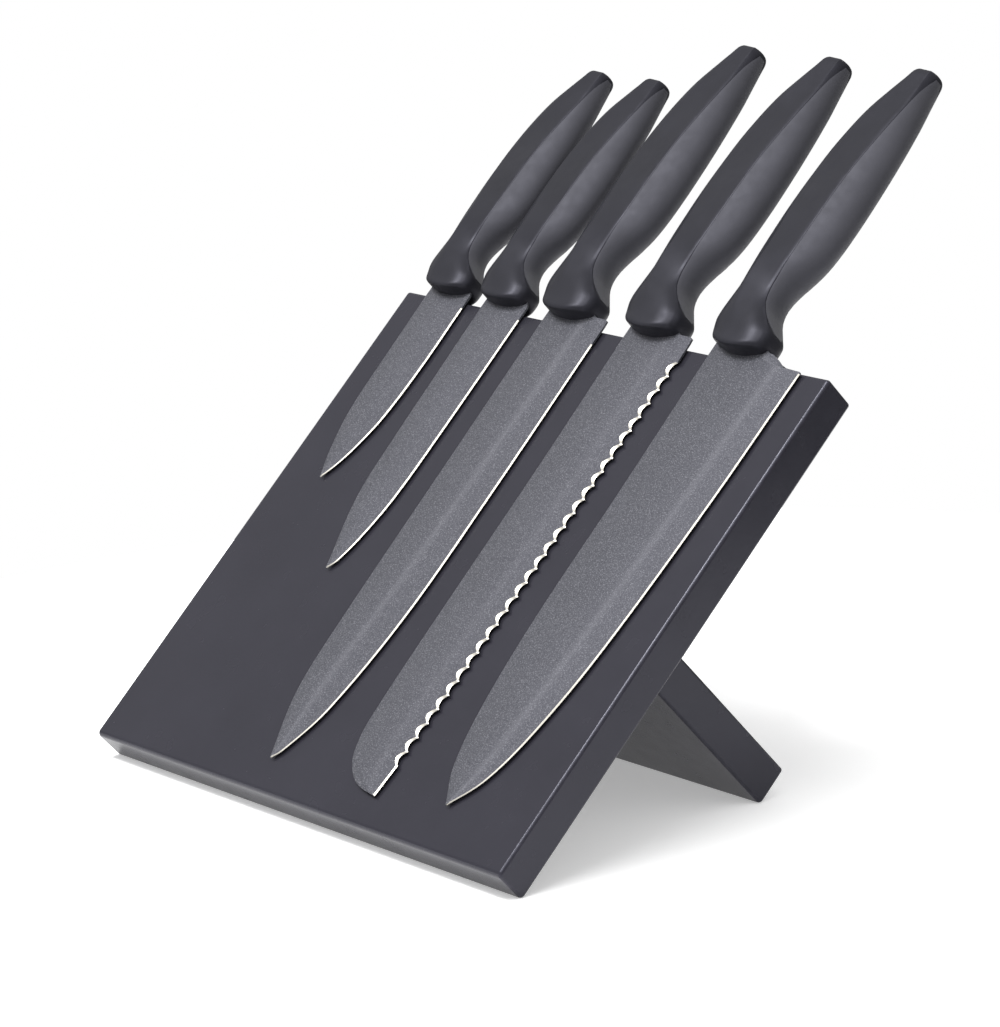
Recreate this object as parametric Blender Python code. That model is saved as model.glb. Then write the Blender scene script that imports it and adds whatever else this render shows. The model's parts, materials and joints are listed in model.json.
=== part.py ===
"""Folding magnetic knife rack with its five knives.

A flat board leans back at 45 degrees on a hinged leg. Magnets in the board hold the knives by
their blades. The rack is drawn flat, as if the board lay on a table, and is then tilted as one:
in board coordinates X runs to the right, Y up the board and Z out of its front face, with the
zero at the middle of the board's bottom edge, on the front face.
"""

import math

import bmesh
import bpy
from mathutils import Euler, Matrix, Vector

MM = 0.001
GAP = 0.3 * MM

# Board: a fibreboard panel with a recess at the back for the magnets and a thin back panel.
LEAN = math.radians(45)
BOARD_WIDTH = 233 * MM
BOARD_HEIGHT = 212 * MM
BOARD_THICKNESS = 15 * MM
ARRIS_RADIUS = 1.8 * MM
ARRIS_SEGMENTS = 3
BACK_PANEL_THICKNESS = 3 * MM
BACK_PANEL_INSET = 10 * MM
FRONT_SKIN = 2.5 * MM
BARE_WIDTH = 84 * MM
BARE_HEIGHT = 86 * MM

# Magnets: two rows in milled channels, each row backed by one steel keeper strip.
MAGNET_SIZE = Vector((38, 20, 6.5)) * MM
MAGNETS_PER_ROW = 5
MAGNET_PITCH = BOARD_WIDTH / MAGNETS_PER_ROW
MAGNET_ROWS = {"upper": 165 * MM, "lower": 60 * MM}
CHANNEL_MARGIN = 1 * MM
CHANNEL_LENGTH = MAGNET_PITCH * (MAGNETS_PER_ROW - 1) + MAGNET_SIZE.x + 2 * CHANNEL_MARGIN
KEEPER_THICKNESS = 2 * MM

# Leg: a flat panel, square to the board when open. Its reach equals the height of its underside
# on the board, so both feet touch the floor at 45 degrees and the leg folds flush with the board.
LEG_WIDTH = 171 * MM
LEG_THICKNESS = 15.8 * MM
LEG_HEIGHT = 98 * MM

# Butt hinges in the corner under the leg.
PIN_OFFSET = 1.6 * MM
PIN_RADIUS = 1.2 * MM
BORE_RADIUS = 1.3 * MM
KNUCKLE_RADIUS = 2.5 * MM
KNUCKLE_CLEARANCE = 0.3 * MM
LEAF_THICKNESS = 1 * MM
LEAF_REACH = 17 * MM
TAB_TOP = -1.7 * MM
HINGE_LENGTH = 40 * MM
MIDDLE_KNUCKLE_LENGTH = 14 * MM
HINGE_INSET = 35 * MM
ROUND_SIDES = 24

# Countersunk screws, two in each leaf.
SCREW_LENGTH = 10 * MM
SCREW_RADIUS = 1.1 * MM
SCREW_HEAD_RADIUS = 2.4 * MM
SCREW_SPACING = 24 * MM
SCREW_REACH = 10 * MM
SCREW_SIDES = 16

# Knives: the blade lies on the board, and the handle's front end clears its top edge.
BLADE_THICKNESS = 1.8 * MM
BEVEL_WIDTH = 1.1 * MM
KNIFE_Y = BOARD_HEIGHT + 0.6 * MM
KNIFE_Z = GAP + BLADE_THICKNESS / 2
CURVE_STEPS = 3
SCALLOP_PITCH = 6.2
SCALLOP_DEPTH = 1.5
SCALLOP_COUNT = 29
SCALLOP_STEPS = 4
SCALLOP_BEVEL = 3.3

# Handle of a large knife, in mm: distance from its front end, the spine side, the belly side,
# half the thickness, and the seam between the hard core and the soft grip.
HANDLE_STATIONS = (
    (0.0, -8.8, 15.0, 7.0, 16.5),
    (1.2, -10.0, 15.9, 7.9, 17.0),
    (4.0, -11.6, 16.5, 8.2, 17.0),
    (9.0, -13.0, 15.9, 8.6, 15.6),
    (14.0, -13.3, 12.9, 9.0, 10.8),
    (20.0, -13.4, 8.8, 9.2, 6.3),
    (26.0, -13.9, 7.8, 9.3, 4.8),
    (32.0, -14.6, 9.3, 9.5, 5.1),
    (41.0, -15.8, 13.9, 9.5, 5.9),
    (50.0, -16.4, 16.0, 9.5, 6.3),
    (63.0, -16.7, 16.7, 9.5, 6.5),
    (78.0, -16.1, 16.4, 9.3, 6.9),
    (93.0, -14.5, 15.4, 9.0, 8.1),
    (108.0, -11.0, 13.9, 8.4, 9.4),
    (120.0, -5.8, 12.0, 7.2, 10.0),
    (127.0, -1.8, 10.6, 6.0, 10.6),
    (130.5, 1.2, 8.6, 4.4, 10.0),
)
GRIP_STATIONS = (4, 14)
FRONT_CENTRE = 3.0
FRONT_HALF = 12.5
FRONT_BOW = 3.2
BOW_LENGTH = 14.0
CORE_SIDES = 18
GRIP_SIDES = 7
LEAST_SEAM_ANGLE = math.radians(4)

# Each knife, in mm in its handle's frame: its place along the board, the handle's scale (width
# and thickness, length), the tang (left, right, length), then the outline of the blade as the
# spine from shoulder to tip, the edge from tip to heel, and the heel back to the shoulder.
KNIVES = {
    "paring": {
        "x": 21.3, "scale": (0.9, 0.84), "tang": (-6.0, 2.0, 70),
        "spine": ((-7.4, 0), (-6.6, -25), (-5.2, -58), (-1.3, -76), (3.1, -87.8)),
        "edge": ((3.1, -87.8), (7.3, -80.6), (10.8, -71.6), (14.3, -57), (15.8, -33), (15.4, -3)),
        "heel": ((15.2, 1.9),),
    },
    "utility": {
        "x": 53.9, "scale": (0.9, 0.84), "tang": (-6.0, 2.0, 70),
        "spine": ((-7.1, 0), (-6.0, -33), (-5.0, -63), (-2.9, -92), (5.8, -122.9)),
        "edge": ((5.8, -122.9), (9, -118.6), (12.9, -105.6), (15.7, -87.6), (16.4, -55), (16.1, -3)),
        "heel": ((16.1, 1.9),),
    },
    "carving": {
        "x": 90.6, "scale": (1.0, 1.0), "tang": (-7.0, 3.0, 88),
        "spine": ((-8.1, 0), (-6.7, -63), (-4.7, -151), (-2.3, -175), (6, -199.8)),
        "edge": ((6, -199.8), (9.4, -196), (18, -175.6), (24.1, -133), (24.9, -80), (23.9, -7)),
        "heel": ((23.9, 3.6), (17.2, 3.6)),
    },
    "bread": {
        "x": 136.8, "scale": (1.0, 1.0), "tang": (-7.0, 3.0, 88),
        "spine": ((-9, 0), (-7.2, -60), (-5.3, -174), (-2.2, -188), (3.2, -195), (10, -198.9),
                  (20.2, -200.7)),
        "edge": ((21.4, -187.4), (23.2, -150), (24.1, -80), (24.3, -7.6)),
        "heel": ((23.9, 3.6), (17.2, 3.6)),
        "scalloped": True,
    },
    "chefs": {
        "x": 183.5, "scale": (1.0, 1.0), "tang": (-7.0, 3.0, 88),
        "spine": ((-10.1, 0), (-8.4, -65), (-7.8, -118), (-4.9, -156), (0.1, -181), (8.1, -195.4)),
        "edge": ((8.1, -195.4), (17.9, -182.6), (24.8, -162.6), (30.7, -127.6), (35, -60),
                 (36.2, -4.6)),
        "heel": ((36.3, -1.3), (29.5, -1), (19.5, 3.4), (17.2, 3.6)),
    },
}


def clear_scene():
    """Remove every object that is in the scene."""
    for item in list(bpy.data.objects):
        bpy.data.objects.remove(item, do_unlink=True)


def material(name, colour, roughness, metallic=0.0):
    """Make a Principled material."""
    result = bpy.data.materials.new(name)
    result.use_nodes = True
    shader = result.node_tree.nodes["Principled BSDF"]
    shader.inputs["Base Color"].default_value = (*colour, 1.0)
    shader.inputs["Roughness"].default_value = roughness
    shader.inputs["Metallic"].default_value = metallic
    return result


def make_materials():
    """Make one material for each kind of surface."""
    return {
        "coating": material("satin_coating", (0.072, 0.070, 0.077), 0.42),
        "back": material("back_coating", (0.06, 0.06, 0.065), 0.55),
        "magnet": material("nickel_plate", (0.62, 0.60, 0.56), 0.25, 1.0),
        "keeper": material("zinc_plate", (0.48, 0.49, 0.50), 0.40, 1.0),
        "hinge": material("hinge_steel", (0.50, 0.50, 0.51), 0.32, 1.0),
        "screw": material("screw_steel", (0.42, 0.42, 0.43), 0.35, 1.0),
        "blade": material("blade_coating", (0.13, 0.13, 0.14), 0.48, 0.4),
        "core": material("handle_plastic", (0.030, 0.030, 0.034), 0.38),
        "grip": material("soft_grip", (0.050, 0.050, 0.055), 0.55),
    }


def empty(name, parent=None, location=(0, 0, 0)):
    """Make an empty, the frame that a body's objects are parented to."""
    result = bpy.data.objects.new(name, None)
    bpy.context.scene.collection.objects.link(result)
    result.parent = parent
    result.location = location
    return result


def make_object(name, mesh_builder, finish, parent, location=(0, 0, 0), rotation=(0, 0, 0)):
    """Turn a bmesh into a named object with one material, under its parent."""
    bmesh.ops.recalc_face_normals(mesh_builder, faces=mesh_builder.faces)
    mesh = bpy.data.meshes.new(name)
    mesh_builder.to_mesh(mesh)
    mesh_builder.free()
    if finish:
        mesh.materials.append(finish)
    result = bpy.data.objects.new(name, mesh)
    bpy.context.scene.collection.objects.link(result)
    result.parent = parent
    result.location = location
    result.rotation_euler = rotation
    return result


def shade_round(item):
    """Shade a round piece smooth, with its true edges kept sharp."""
    item.data.shade_smooth()
    item.data.set_sharp_from_angle(angle=math.radians(35))


def add_box(mesh_builder, low, high):
    """Add a box between two corners."""
    low = Vector(low)
    high = Vector(high)
    place = Matrix.Translation((low + high) / 2) @ Matrix.Diagonal((*(high - low), 1))
    bmesh.ops.create_cube(mesh_builder, size=1, matrix=place)


def add_cylinder(mesh_builder, start, end, radius, end_radius=None, sides=ROUND_SIDES):
    """Add a cylinder, or a cone, from one centre to another."""
    start = Vector(start)
    end = Vector(end)
    turn = (end - start).to_track_quat("Z", "Y").to_matrix().to_4x4()
    bmesh.ops.create_cone(
        mesh_builder, cap_ends=True, segments=sides, radius1=radius,
        radius2=radius if end_radius is None else end_radius, depth=(end - start).length,
        matrix=Matrix.Translation((start + end) / 2) @ turn)


def box_mesh(low, high, bevel=0.0, segments=1):
    """Return a box with its edges rounded."""
    result = bmesh.new()
    add_box(result, low, high)
    if bevel:
        bmesh.ops.bevel(result, geom=result.edges[:], offset=bevel, segments=segments,
                        profile=0.5, affect="EDGES", clamp_overlap=True)
    return result


def combine(target, mesh_builder, operation):
    """Cut a shape from the target, or join it on, with an exact Boolean."""
    name = f"{target.name}_{operation.lower()}_{len(target.modifiers)}"
    tool = make_object(name, mesh_builder, None, target.parent, target.location,
                       target.rotation_euler)
    tool.hide_render = True
    tool.display_type = "WIRE"
    modifier = target.modifiers.new(operation.title(), "BOOLEAN")
    modifier.operation = operation
    modifier.solver = "EXACT"
    modifier.object = tool


def hinge_centres():
    """Places of the two hinges along the board, by side."""
    offset = LEG_WIDTH / 2 - HINGE_INSET
    return {"left": -offset, "right": offset}


def screw_places():
    """Places of all the screws along the board, the same in both leaves."""
    return [centre + side * SCREW_SPACING / 2
            for centre in hinge_centres().values() for side in (-1, 1)]


def pin_place():
    """The hinge axis: below the leg's underside and behind the board."""
    return Vector((0, LEG_HEIGHT - PIN_OFFSET, -BOARD_THICKNESS - PIN_OFFSET))


def pilot_holes(axis_y, top_z, bottom_z):
    """Pilot holes for the screws into the board, as one cutter."""
    result = bmesh.new()
    for place in screw_places():
        add_cylinder(result, (place, axis_y, bottom_z), (place, axis_y, top_z),
                     SCREW_RADIUS + GAP, sides=SCREW_SIDES)
    return result


def build_board_panel(rack, finishes):
    """The front panel: rounded arrises, a recess at the back, magnet channels, pilot holes."""
    half = BOARD_WIDTH / 2
    panel = box_mesh((-half, 0, -BOARD_THICKNESS), (half, BOARD_HEIGHT, 0),
                     ARRIS_RADIUS, ARRIS_SEGMENTS)
    for point, normal in (((BARE_WIDTH - half, 0, 0), (1, 0, 0)), ((0, BARE_HEIGHT, 0), (0, 1, 0))):
        bmesh.ops.bisect_plane(panel, geom=panel.verts[:] + panel.edges[:] + panel.faces[:],
                               plane_co=point, plane_no=normal)
    board = make_object("board_panel", panel, finishes["coating"], rack)
    recess_z = BACK_PANEL_THICKNESS - BOARD_THICKNESS
    edge = BACK_PANEL_INSET
    recess = box_mesh((edge - half, edge, -BOARD_THICKNESS - MM),
                      (half - edge, BOARD_HEIGHT - edge, recess_z))
    combine(board, recess, "DIFFERENCE")
    channels = bmesh.new()
    reach = MAGNET_SIZE.y / 2 + CHANNEL_MARGIN
    for row_y in MAGNET_ROWS.values():
        add_box(channels, (-CHANNEL_LENGTH / 2, row_y - reach, recess_z - MM),
                (CHANNEL_LENGTH / 2, row_y + reach, -FRONT_SKIN))
    combine(board, channels, "DIFFERENCE")
    pin = pin_place()
    holes = pilot_holes(pin.y - SCREW_REACH, pin.z + SCREW_LENGTH + MM, recess_z - MM)
    combine(board, holes, "DIFFERENCE")


def build_back_panel(rack, finishes):
    """The thin inlaid panel that closes the magnets in and carries the hinges."""
    half = BOARD_WIDTH / 2 - BACK_PANEL_INSET - GAP
    low_y = BACK_PANEL_INSET + GAP
    panel = box_mesh((-half, low_y, -BOARD_THICKNESS),
                     (half, BOARD_HEIGHT - low_y, BACK_PANEL_THICKNESS - BOARD_THICKNESS - GAP))
    back = make_object("back_panel", panel, finishes["back"], rack)
    pin = pin_place()
    notch = KNUCKLE_RADIUS + KNUCKLE_CLEARANCE
    notches = bmesh.new()
    for centre in hinge_centres().values():
        reach = HINGE_LENGTH / 2 + 3 * KNUCKLE_CLEARANCE
        add_box(notches, (centre - reach, pin.y - notch, pin.z - notch),
                (centre + reach, pin.y + notch, pin.z + notch))
    combine(back, notches, "DIFFERENCE")
    holes = pilot_holes(pin.y - SCREW_REACH, -FRONT_SKIN, pin.z - MM)
    combine(back, holes, "DIFFERENCE")


def build_magnets(rack, finishes):
    """Two rows of magnet blocks and the keeper strip behind each row."""
    top = -FRONT_SKIN - GAP
    size = MAGNET_SIZE
    block = box_mesh((-size.x / 2, -size.y / 2, -size.z), (size.x / 2, size.y / 2, 0), 0.6 * MM)
    shared = None
    for row, row_y in MAGNET_ROWS.items():
        for index in range(MAGNETS_PER_ROW):
            place = ((index - (MAGNETS_PER_ROW - 1) / 2) * MAGNET_PITCH, row_y, top)
            name = f"{row}_magnet_{index + 1}"
            if shared is None:
                shared = make_object(name, block, finishes["magnet"], rack, place).data
                continue
            magnet = bpy.data.objects.new(name, shared)
            bpy.context.scene.collection.objects.link(magnet)
            magnet.parent = rack
            magnet.location = place
        length = CHANNEL_LENGTH / 2 - CHANNEL_MARGIN
        strip_z = top - size.z - GAP
        strip = box_mesh((-length, row_y - size.y / 2, strip_z - KEEPER_THICKNESS),
                         (length, row_y + size.y / 2, strip_z), 0.2 * MM)
        make_object(f"{row}_keeper", strip, finishes["keeper"], rack)


def build_leg_panel(leg, finishes):
    """The leg, drawn from the hinge axis: rounded arrises, notches for the knuckles, holes."""
    half = LEG_WIDTH / 2
    root = PIN_OFFSET - GAP
    end = root + GAP - LEG_HEIGHT
    panel = box_mesh((-half, PIN_OFFSET, end), (half, PIN_OFFSET + LEG_THICKNESS, root),
                     ARRIS_RADIUS, ARRIS_SEGMENTS)
    item = make_object("leg_panel", panel, finishes["coating"], leg)
    notch = KNUCKLE_RADIUS + KNUCKLE_CLEARANCE
    notches = bmesh.new()
    for centre in hinge_centres().values():
        reach = HINGE_LENGTH / 2 + 3 * KNUCKLE_CLEARANCE
        add_box(notches, (centre - reach, -notch, -notch), (centre + reach, notch, notch))
    combine(item, notches, "DIFFERENCE")
    holes = bmesh.new()
    for place in screw_places():
        add_cylinder(holes, (place, 0, -SCREW_REACH), (place, SCREW_LENGTH + MM, -SCREW_REACH),
                     SCREW_RADIUS + GAP, sides=SCREW_SIDES)
    combine(item, holes, "DIFFERENCE")


def leaf_knuckles(is_middle):
    """Start and end of each knuckle along the hinge: one in the middle, or one at each end."""
    middle = MIDDLE_KNUCKLE_LENGTH / 2
    if is_middle:
        return [(-middle, middle)]
    inner = middle + KNUCKLE_CLEARANCE
    return [(-HINGE_LENGTH / 2, -inner), (inner, HINGE_LENGTH / 2)]


def build_leaf(name, is_middle, parent, location, rotation, finish):
    """One hinge leaf: a plate that hangs from the axis along -Y, with knuckles round the axis."""
    face = PIN_OFFSET - GAP
    plate_top = -KNUCKLE_RADIUS - KNUCKLE_CLEARANCE
    plate = box_mesh((-HINGE_LENGTH / 2, -LEAF_REACH, face - LEAF_THICKNESS),
                     (HINGE_LENGTH / 2, plate_top, face))
    leaf = make_object(name, plate, finish, parent, location, rotation)
    for start, end in leaf_knuckles(is_middle):
        tab = bmesh.new()
        add_box(tab, (start, plate_top - MM, face - LEAF_THICKNESS), (end, TAB_TOP, face))
        combine(leaf, tab, "UNION")
        knuckle = bmesh.new()
        add_cylinder(knuckle, (start, 0, 0), (end, 0, 0), KNUCKLE_RADIUS)
        combine(leaf, knuckle, "UNION")
    bore = bmesh.new()
    add_cylinder(bore, (-HINGE_LENGTH, 0, 0), (HINGE_LENGTH, 0, 0), BORE_RADIUS)
    combine(leaf, bore, "DIFFERENCE")
    sinks = bmesh.new()
    for side in (-1, 1):
        place = side * SCREW_SPACING / 2
        low = face - LEAF_THICKNESS
        add_cylinder(sinks, (place, -SCREW_REACH, low - GAP), (place, -SCREW_REACH, face + GAP),
                     SCREW_HEAD_RADIUS + 2 * GAP, SCREW_RADIUS + 2 * GAP, SCREW_SIDES)
    combine(leaf, sinks, "DIFFERENCE")
    shade_round(leaf)


def screw_mesh():
    """A countersunk screw along +Z with its head's top at zero, turned from a profile."""
    neck = LEAF_THICKNESS + 2 * GAP
    slot_depth = 0.5 * MM
    profile = ((0, slot_depth), (0.9 * MM, slot_depth), (1.1 * MM, 0), (SCREW_HEAD_RADIUS, 0),
               (SCREW_HEAD_RADIUS, GAP / 2), (SCREW_RADIUS, neck),
               (SCREW_RADIUS, SCREW_LENGTH - 2 * SCREW_RADIUS), (0, SCREW_LENGTH))
    result = bmesh.new()
    points = [result.verts.new((radius, 0, height)) for radius, height in profile]
    outline = [result.edges.new(pair) for pair in zip(points, points[1:])]
    bmesh.ops.spin(result, geom=points + outline, cent=(0, 0, 0), axis=(0, 0, 1),
                   angle=2 * math.pi, steps=SCREW_SIDES, use_merge=True)
    bmesh.ops.remove_doubles(result, verts=result.verts[:], dist=0.01 * MM)
    return result


def build_screws(name, parent, location, rotation, finish):
    """The two screws of one leaf, in the leaf's own frame."""
    frame = Matrix.LocRotScale(location, Euler(rotation), None)
    for index, side in enumerate((-1, 1)):
        place = frame @ Vector((side * SCREW_SPACING / 2, -SCREW_REACH,
                                PIN_OFFSET - GAP - LEAF_THICKNESS))
        screw = make_object(f"{name}_{index + 1}", screw_mesh(), finish, parent, place, rotation)
        shade_round(screw)


def build_hinges(rack, leg, finishes):
    """Both hinges: a board leaf, a leg leaf at a right angle to it, a pin and four screws."""
    pin = pin_place()
    onto_leg = (math.radians(90), 0, math.radians(180))
    for side, centre in hinge_centres().items():
        on_board = Vector((centre, pin.y, pin.z))
        on_leg = Vector((centre, 0, 0))
        build_leaf(f"{side}_hinge_board_leaf", False, rack, on_board, (0, 0, 0), finishes["hinge"])
        build_leaf(f"{side}_hinge_leg_leaf", True, leg, on_leg, onto_leg, finishes["hinge"])
        rod = bmesh.new()
        reach = HINGE_LENGTH / 2 + KNUCKLE_CLEARANCE
        add_cylinder(rod, (-reach, 0, 0), (reach, 0, 0), PIN_RADIUS)
        item = make_object(f"{side}_hinge_pin", rod, finishes["screw"], rack, on_board)
        shade_round(item)
        build_screws(f"{side}_hinge_board_screw", rack, on_board, (0, 0, 0), finishes["screw"])
        build_screws(f"{side}_hinge_leg_screw", leg, on_leg, onto_leg, finishes["screw"])


def smooth_curve(points, steps=CURVE_STEPS):
    """Points along a smooth curve that passes through the given points."""
    knots = [Vector(point) for point in points]
    knots = [2 * knots[0] - knots[1]] + knots + [2 * knots[-1] - knots[-2]]
    curve = []
    for before, start, end, after in zip(knots, knots[1:], knots[2:], knots[3:]):
        span = (end - start).length
        leave = (end - before) * span / (span + (start - before).length)
        arrive = (after - start) * span / (span + (after - end).length)
        for step in range(steps):
            t = step / steps
            curve.append(start * (2 * t ** 3 - 3 * t ** 2 + 1) + leave * (t ** 3 - 2 * t ** 2 + t)
                         + end * (3 * t ** 2 - 2 * t ** 3) + arrive * (t ** 3 - t ** 2))
    return curve + [knots[-2]]


def front_bow(x, scale):
    """How far back the handle's front end lies at x, in mm: it bulges towards the blade."""
    width, length = scale
    return FRONT_BOW * length * ((x / width - FRONT_CENTRE) / FRONT_HALF) ** 2


def scallops(edge):
    """The tooth tips and the hollows between them along a bread knife's edge."""
    tips = smooth_curve(edge, 8)
    points = []
    for tooth in range(SCALLOP_COUNT * SCALLOP_STEPS + 1):
        y = edge[0][1] + tooth * SCALLOP_PITCH / SCALLOP_STEPS
        above = next(tip for tip in tips[1:] if tip.y >= y or tip is tips[-1])
        below = tips[tips.index(above) - 1]
        x = below.x + (above.x - below.x) * (y - below.y) / (above.y - below.y)
        hollow = SCALLOP_DEPTH * math.sin(math.pi * tooth / SCALLOP_STEPS) ** 2
        points.append(Vector((x - hollow ** 0.5 * SCALLOP_DEPTH ** 0.5, y)))
    return points


def shoulder_points(knife):
    """The blade's shoulders and tang, from the heel side round to the spine, in mm."""
    left, right, length = knife["tang"]
    scale = knife["scale"]
    corner = 16.0 * scale[0]
    spine_x = knife["spine"][0][0]
    gap = GAP / MM
    outer = [corner, (2 * corner + right) / 3, (corner + 2 * right) / 3, right]
    points = [Vector((x, front_bow(x, scale) - gap)) for x in outer]
    points += [Vector((right, length - 4)), Vector((right - 2, length)),
               Vector((left + 2, length)), Vector((left, length - 4))]
    inner = [left, (left + spine_x) / 2, spine_x]
    points += [Vector((x, front_bow(x, scale) - gap)) for x in inner]
    return points


def edge_normals(points):
    """Directions across a line of points, towards the spine."""
    normals = []
    for index in range(len(points)):
        ahead = points[min(index + 1, len(points) - 1)] - points[max(index - 1, 0)]
        normals.append(Vector((-ahead.y, ahead.x)).normalized())
    return normals


def blade_mesh(knife):
    """A blade and its tang: one outline, whose cutting edge is ground back on the front face."""
    spine = smooth_curve(knife["spine"])
    scalloped = knife.get("scalloped", False)
    edge = scallops(knife["edge"]) if scalloped else smooth_curve(knife["edge"])[1:]
    rest = [Vector(point) for point in knife["heel"]] + shoulder_points(knife)[:-1]
    spine[0] = shoulder_points(knife)[-1]
    if scalloped:
        tip_line = [Vector((point.x, point.y)) for point in edge]
        top_edge = [Vector((max(p.x for p in tip_line[max(i - 2, 0):i + 3]) - SCALLOP_BEVEL, p.y))
                    for i, p in enumerate(tip_line)]
    else:
        width = BEVEL_WIDTH / MM
        top_edge = [point + normal * width for point, normal in zip(edge, edge_normals(edge))]
    half = BLADE_THICKNESS / 2
    result = bmesh.new()
    low = [result.verts.new((*point * MM, -half)) for point in spine + edge + rest]
    high = [result.verts.new((*point * MM, half)) for point in spine + top_edge + rest]
    result.faces.new(low)
    result.faces.new(high)
    for index in range(len(low)):
        after = (index + 1) % len(low)
        result.faces.new((low[index], low[after], high[after], high[index]))
    return result


def section_ring(station, scale, first_angle, last_angle, sides):
    """Points round one handle section, from the first angle to the last, as 3-D vectors."""
    y, spine, belly, half, _ = station
    width, length = scale
    centre = (spine + belly) / 2
    reach = (belly - spine) / 2
    ring = []
    for side in range(sides + 1):
        angle = first_angle + (last_angle - first_angle) * side / sides
        x = (centre + reach * math.cos(angle)) * width
        fade = max(0.0, 1 - y / BOW_LENGTH)
        bowed_y = y * length + front_bow(x, scale) * fade
        ring.append(Vector((x, bowed_y, half * width * math.sin(angle))) * MM)
    return ring


def seam_angle(station, shift):
    """Angle at which a section meets the seam, moved across by the given shift in mm."""
    _, spine, belly, _, seam = station
    cosine = (seam + shift - (spine + belly) / 2) / ((belly - spine) / 2)
    if cosine >= math.cos(LEAST_SEAM_ANGLE):
        return LEAST_SEAM_ANGLE
    return math.acos(cosine)


def loft(rings):
    """A closed body through rings of points. Each end is closed by strips across it."""
    result = bmesh.new()
    rows = [[result.verts.new(point) for point in ring] for ring in rings]
    count = len(rows[0])
    for row, after in zip(rows, rows[1:]):
        for index in range(count):
            beside = (index + 1) % count
            result.faces.new((row[index], row[beside], after[beside], after[index]))
    for row in (rows[0], rows[-1]):
        for index in range(count // 2 - 1):
            opposite = count - 1 - index
            result.faces.new((row[index], row[index + 1], row[opposite - 1], row[opposite]))
        if count % 2:
            middle = count // 2
            result.faces.new((row[middle - 1], row[middle], row[middle + 1]))
    return result


def build_handle(name, knife, body, finishes):
    """The handle: a hard core with a slot for the tang, and a soft grip along its belly."""
    scale = knife["scale"]
    gap = GAP / MM / 2
    rings = []
    for station in HANDLE_STATIONS:
        angle = seam_angle(station, -gap)
        rings.append(section_ring(station, scale, angle, 2 * math.pi - angle, CORE_SIDES))
    core = make_object(f"{name}_knife_core", loft(rings), finishes["core"], body)
    left, right, length = knife["tang"]
    slot = box_mesh((left * MM - GAP, -5 * MM, -BLADE_THICKNESS / 2 - GAP),
                    (right * MM + GAP, length * MM + GAP, BLADE_THICKNESS / 2 + GAP))
    combine(core, slot, "DIFFERENCE")
    shade_round(core)
    first, last = GRIP_STATIONS
    rings = []
    for station in HANDLE_STATIONS[first:last + 1]:
        angle = seam_angle(station, gap)
        rings.append(section_ring(station, scale, -angle, angle, GRIP_SIDES))
    grip = make_object(f"{name}_knife_grip", loft(rings), finishes["grip"], body)
    shade_round(grip)


def build_knives(rack, finishes):
    """Every knife under its own empty, which lies in the blade's mid-plane on the slide's line."""
    for name, knife in KNIVES.items():
        place = (knife["x"] * MM - BOARD_WIDTH / 2, KNIFE_Y, KNIFE_Z)
        body = empty(f"{name}_knife", rack, place)
        make_object(f"{name}_knife_blade", blade_mesh(knife), finishes["blade"], body)
        build_handle(name, knife, body, finishes)


def stand_on_floor(rack):
    """Move the tilted rack so that the middle of its bounding box's underside is the origin."""
    bpy.context.view_layer.update()
    corners = [item.matrix_world @ vertex.co for item in bpy.data.objects
               if item.type == "MESH" and not item.hide_render for vertex in item.data.vertices]
    low = Vector([min(corner[axis] for corner in corners) for axis in range(3)])
    high = Vector([max(corner[axis] for corner in corners) for axis in range(3)])
    rack.location = -Vector(((low.x + high.x) / 2, (low.y + high.y) / 2, low.z))


def main():
    """Build the rack flat, then lean it back and stand it on its two feet."""
    clear_scene()
    finishes = make_materials()
    rack = empty("rack")
    rack.rotation_euler = (LEAN, 0, 0)
    leg = empty("leg_hinge_axis", rack, pin_place())
    build_board_panel(rack, finishes)
    build_back_panel(rack, finishes)
    build_magnets(rack, finishes)
    build_leg_panel(leg, finishes)
    build_hinges(rack, leg, finishes)
    build_knives(rack, finishes)
    stand_on_floor(rack)
    bpy.context.view_layer.update()


main()
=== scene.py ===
"""Looks of a folding magnetic knife rack and its five knives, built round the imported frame.

Pieces are drawn in board coordinates, in millimetres: X runs along the board from its middle,
Y up the board from its bottom edge, and Z out of its front face. A finished mesh is moved to
its place in the frame, so that every object sits at the origin.
"""

from __future__ import annotations

import json
import logging
import math
from dataclasses import dataclass, field
from enum import Enum
from typing import Sequence

import bmesh
import bpy
from bmesh.types import BMesh, BMEdge, BMVert
from mathutils import Euler, Matrix, Vector

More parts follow.
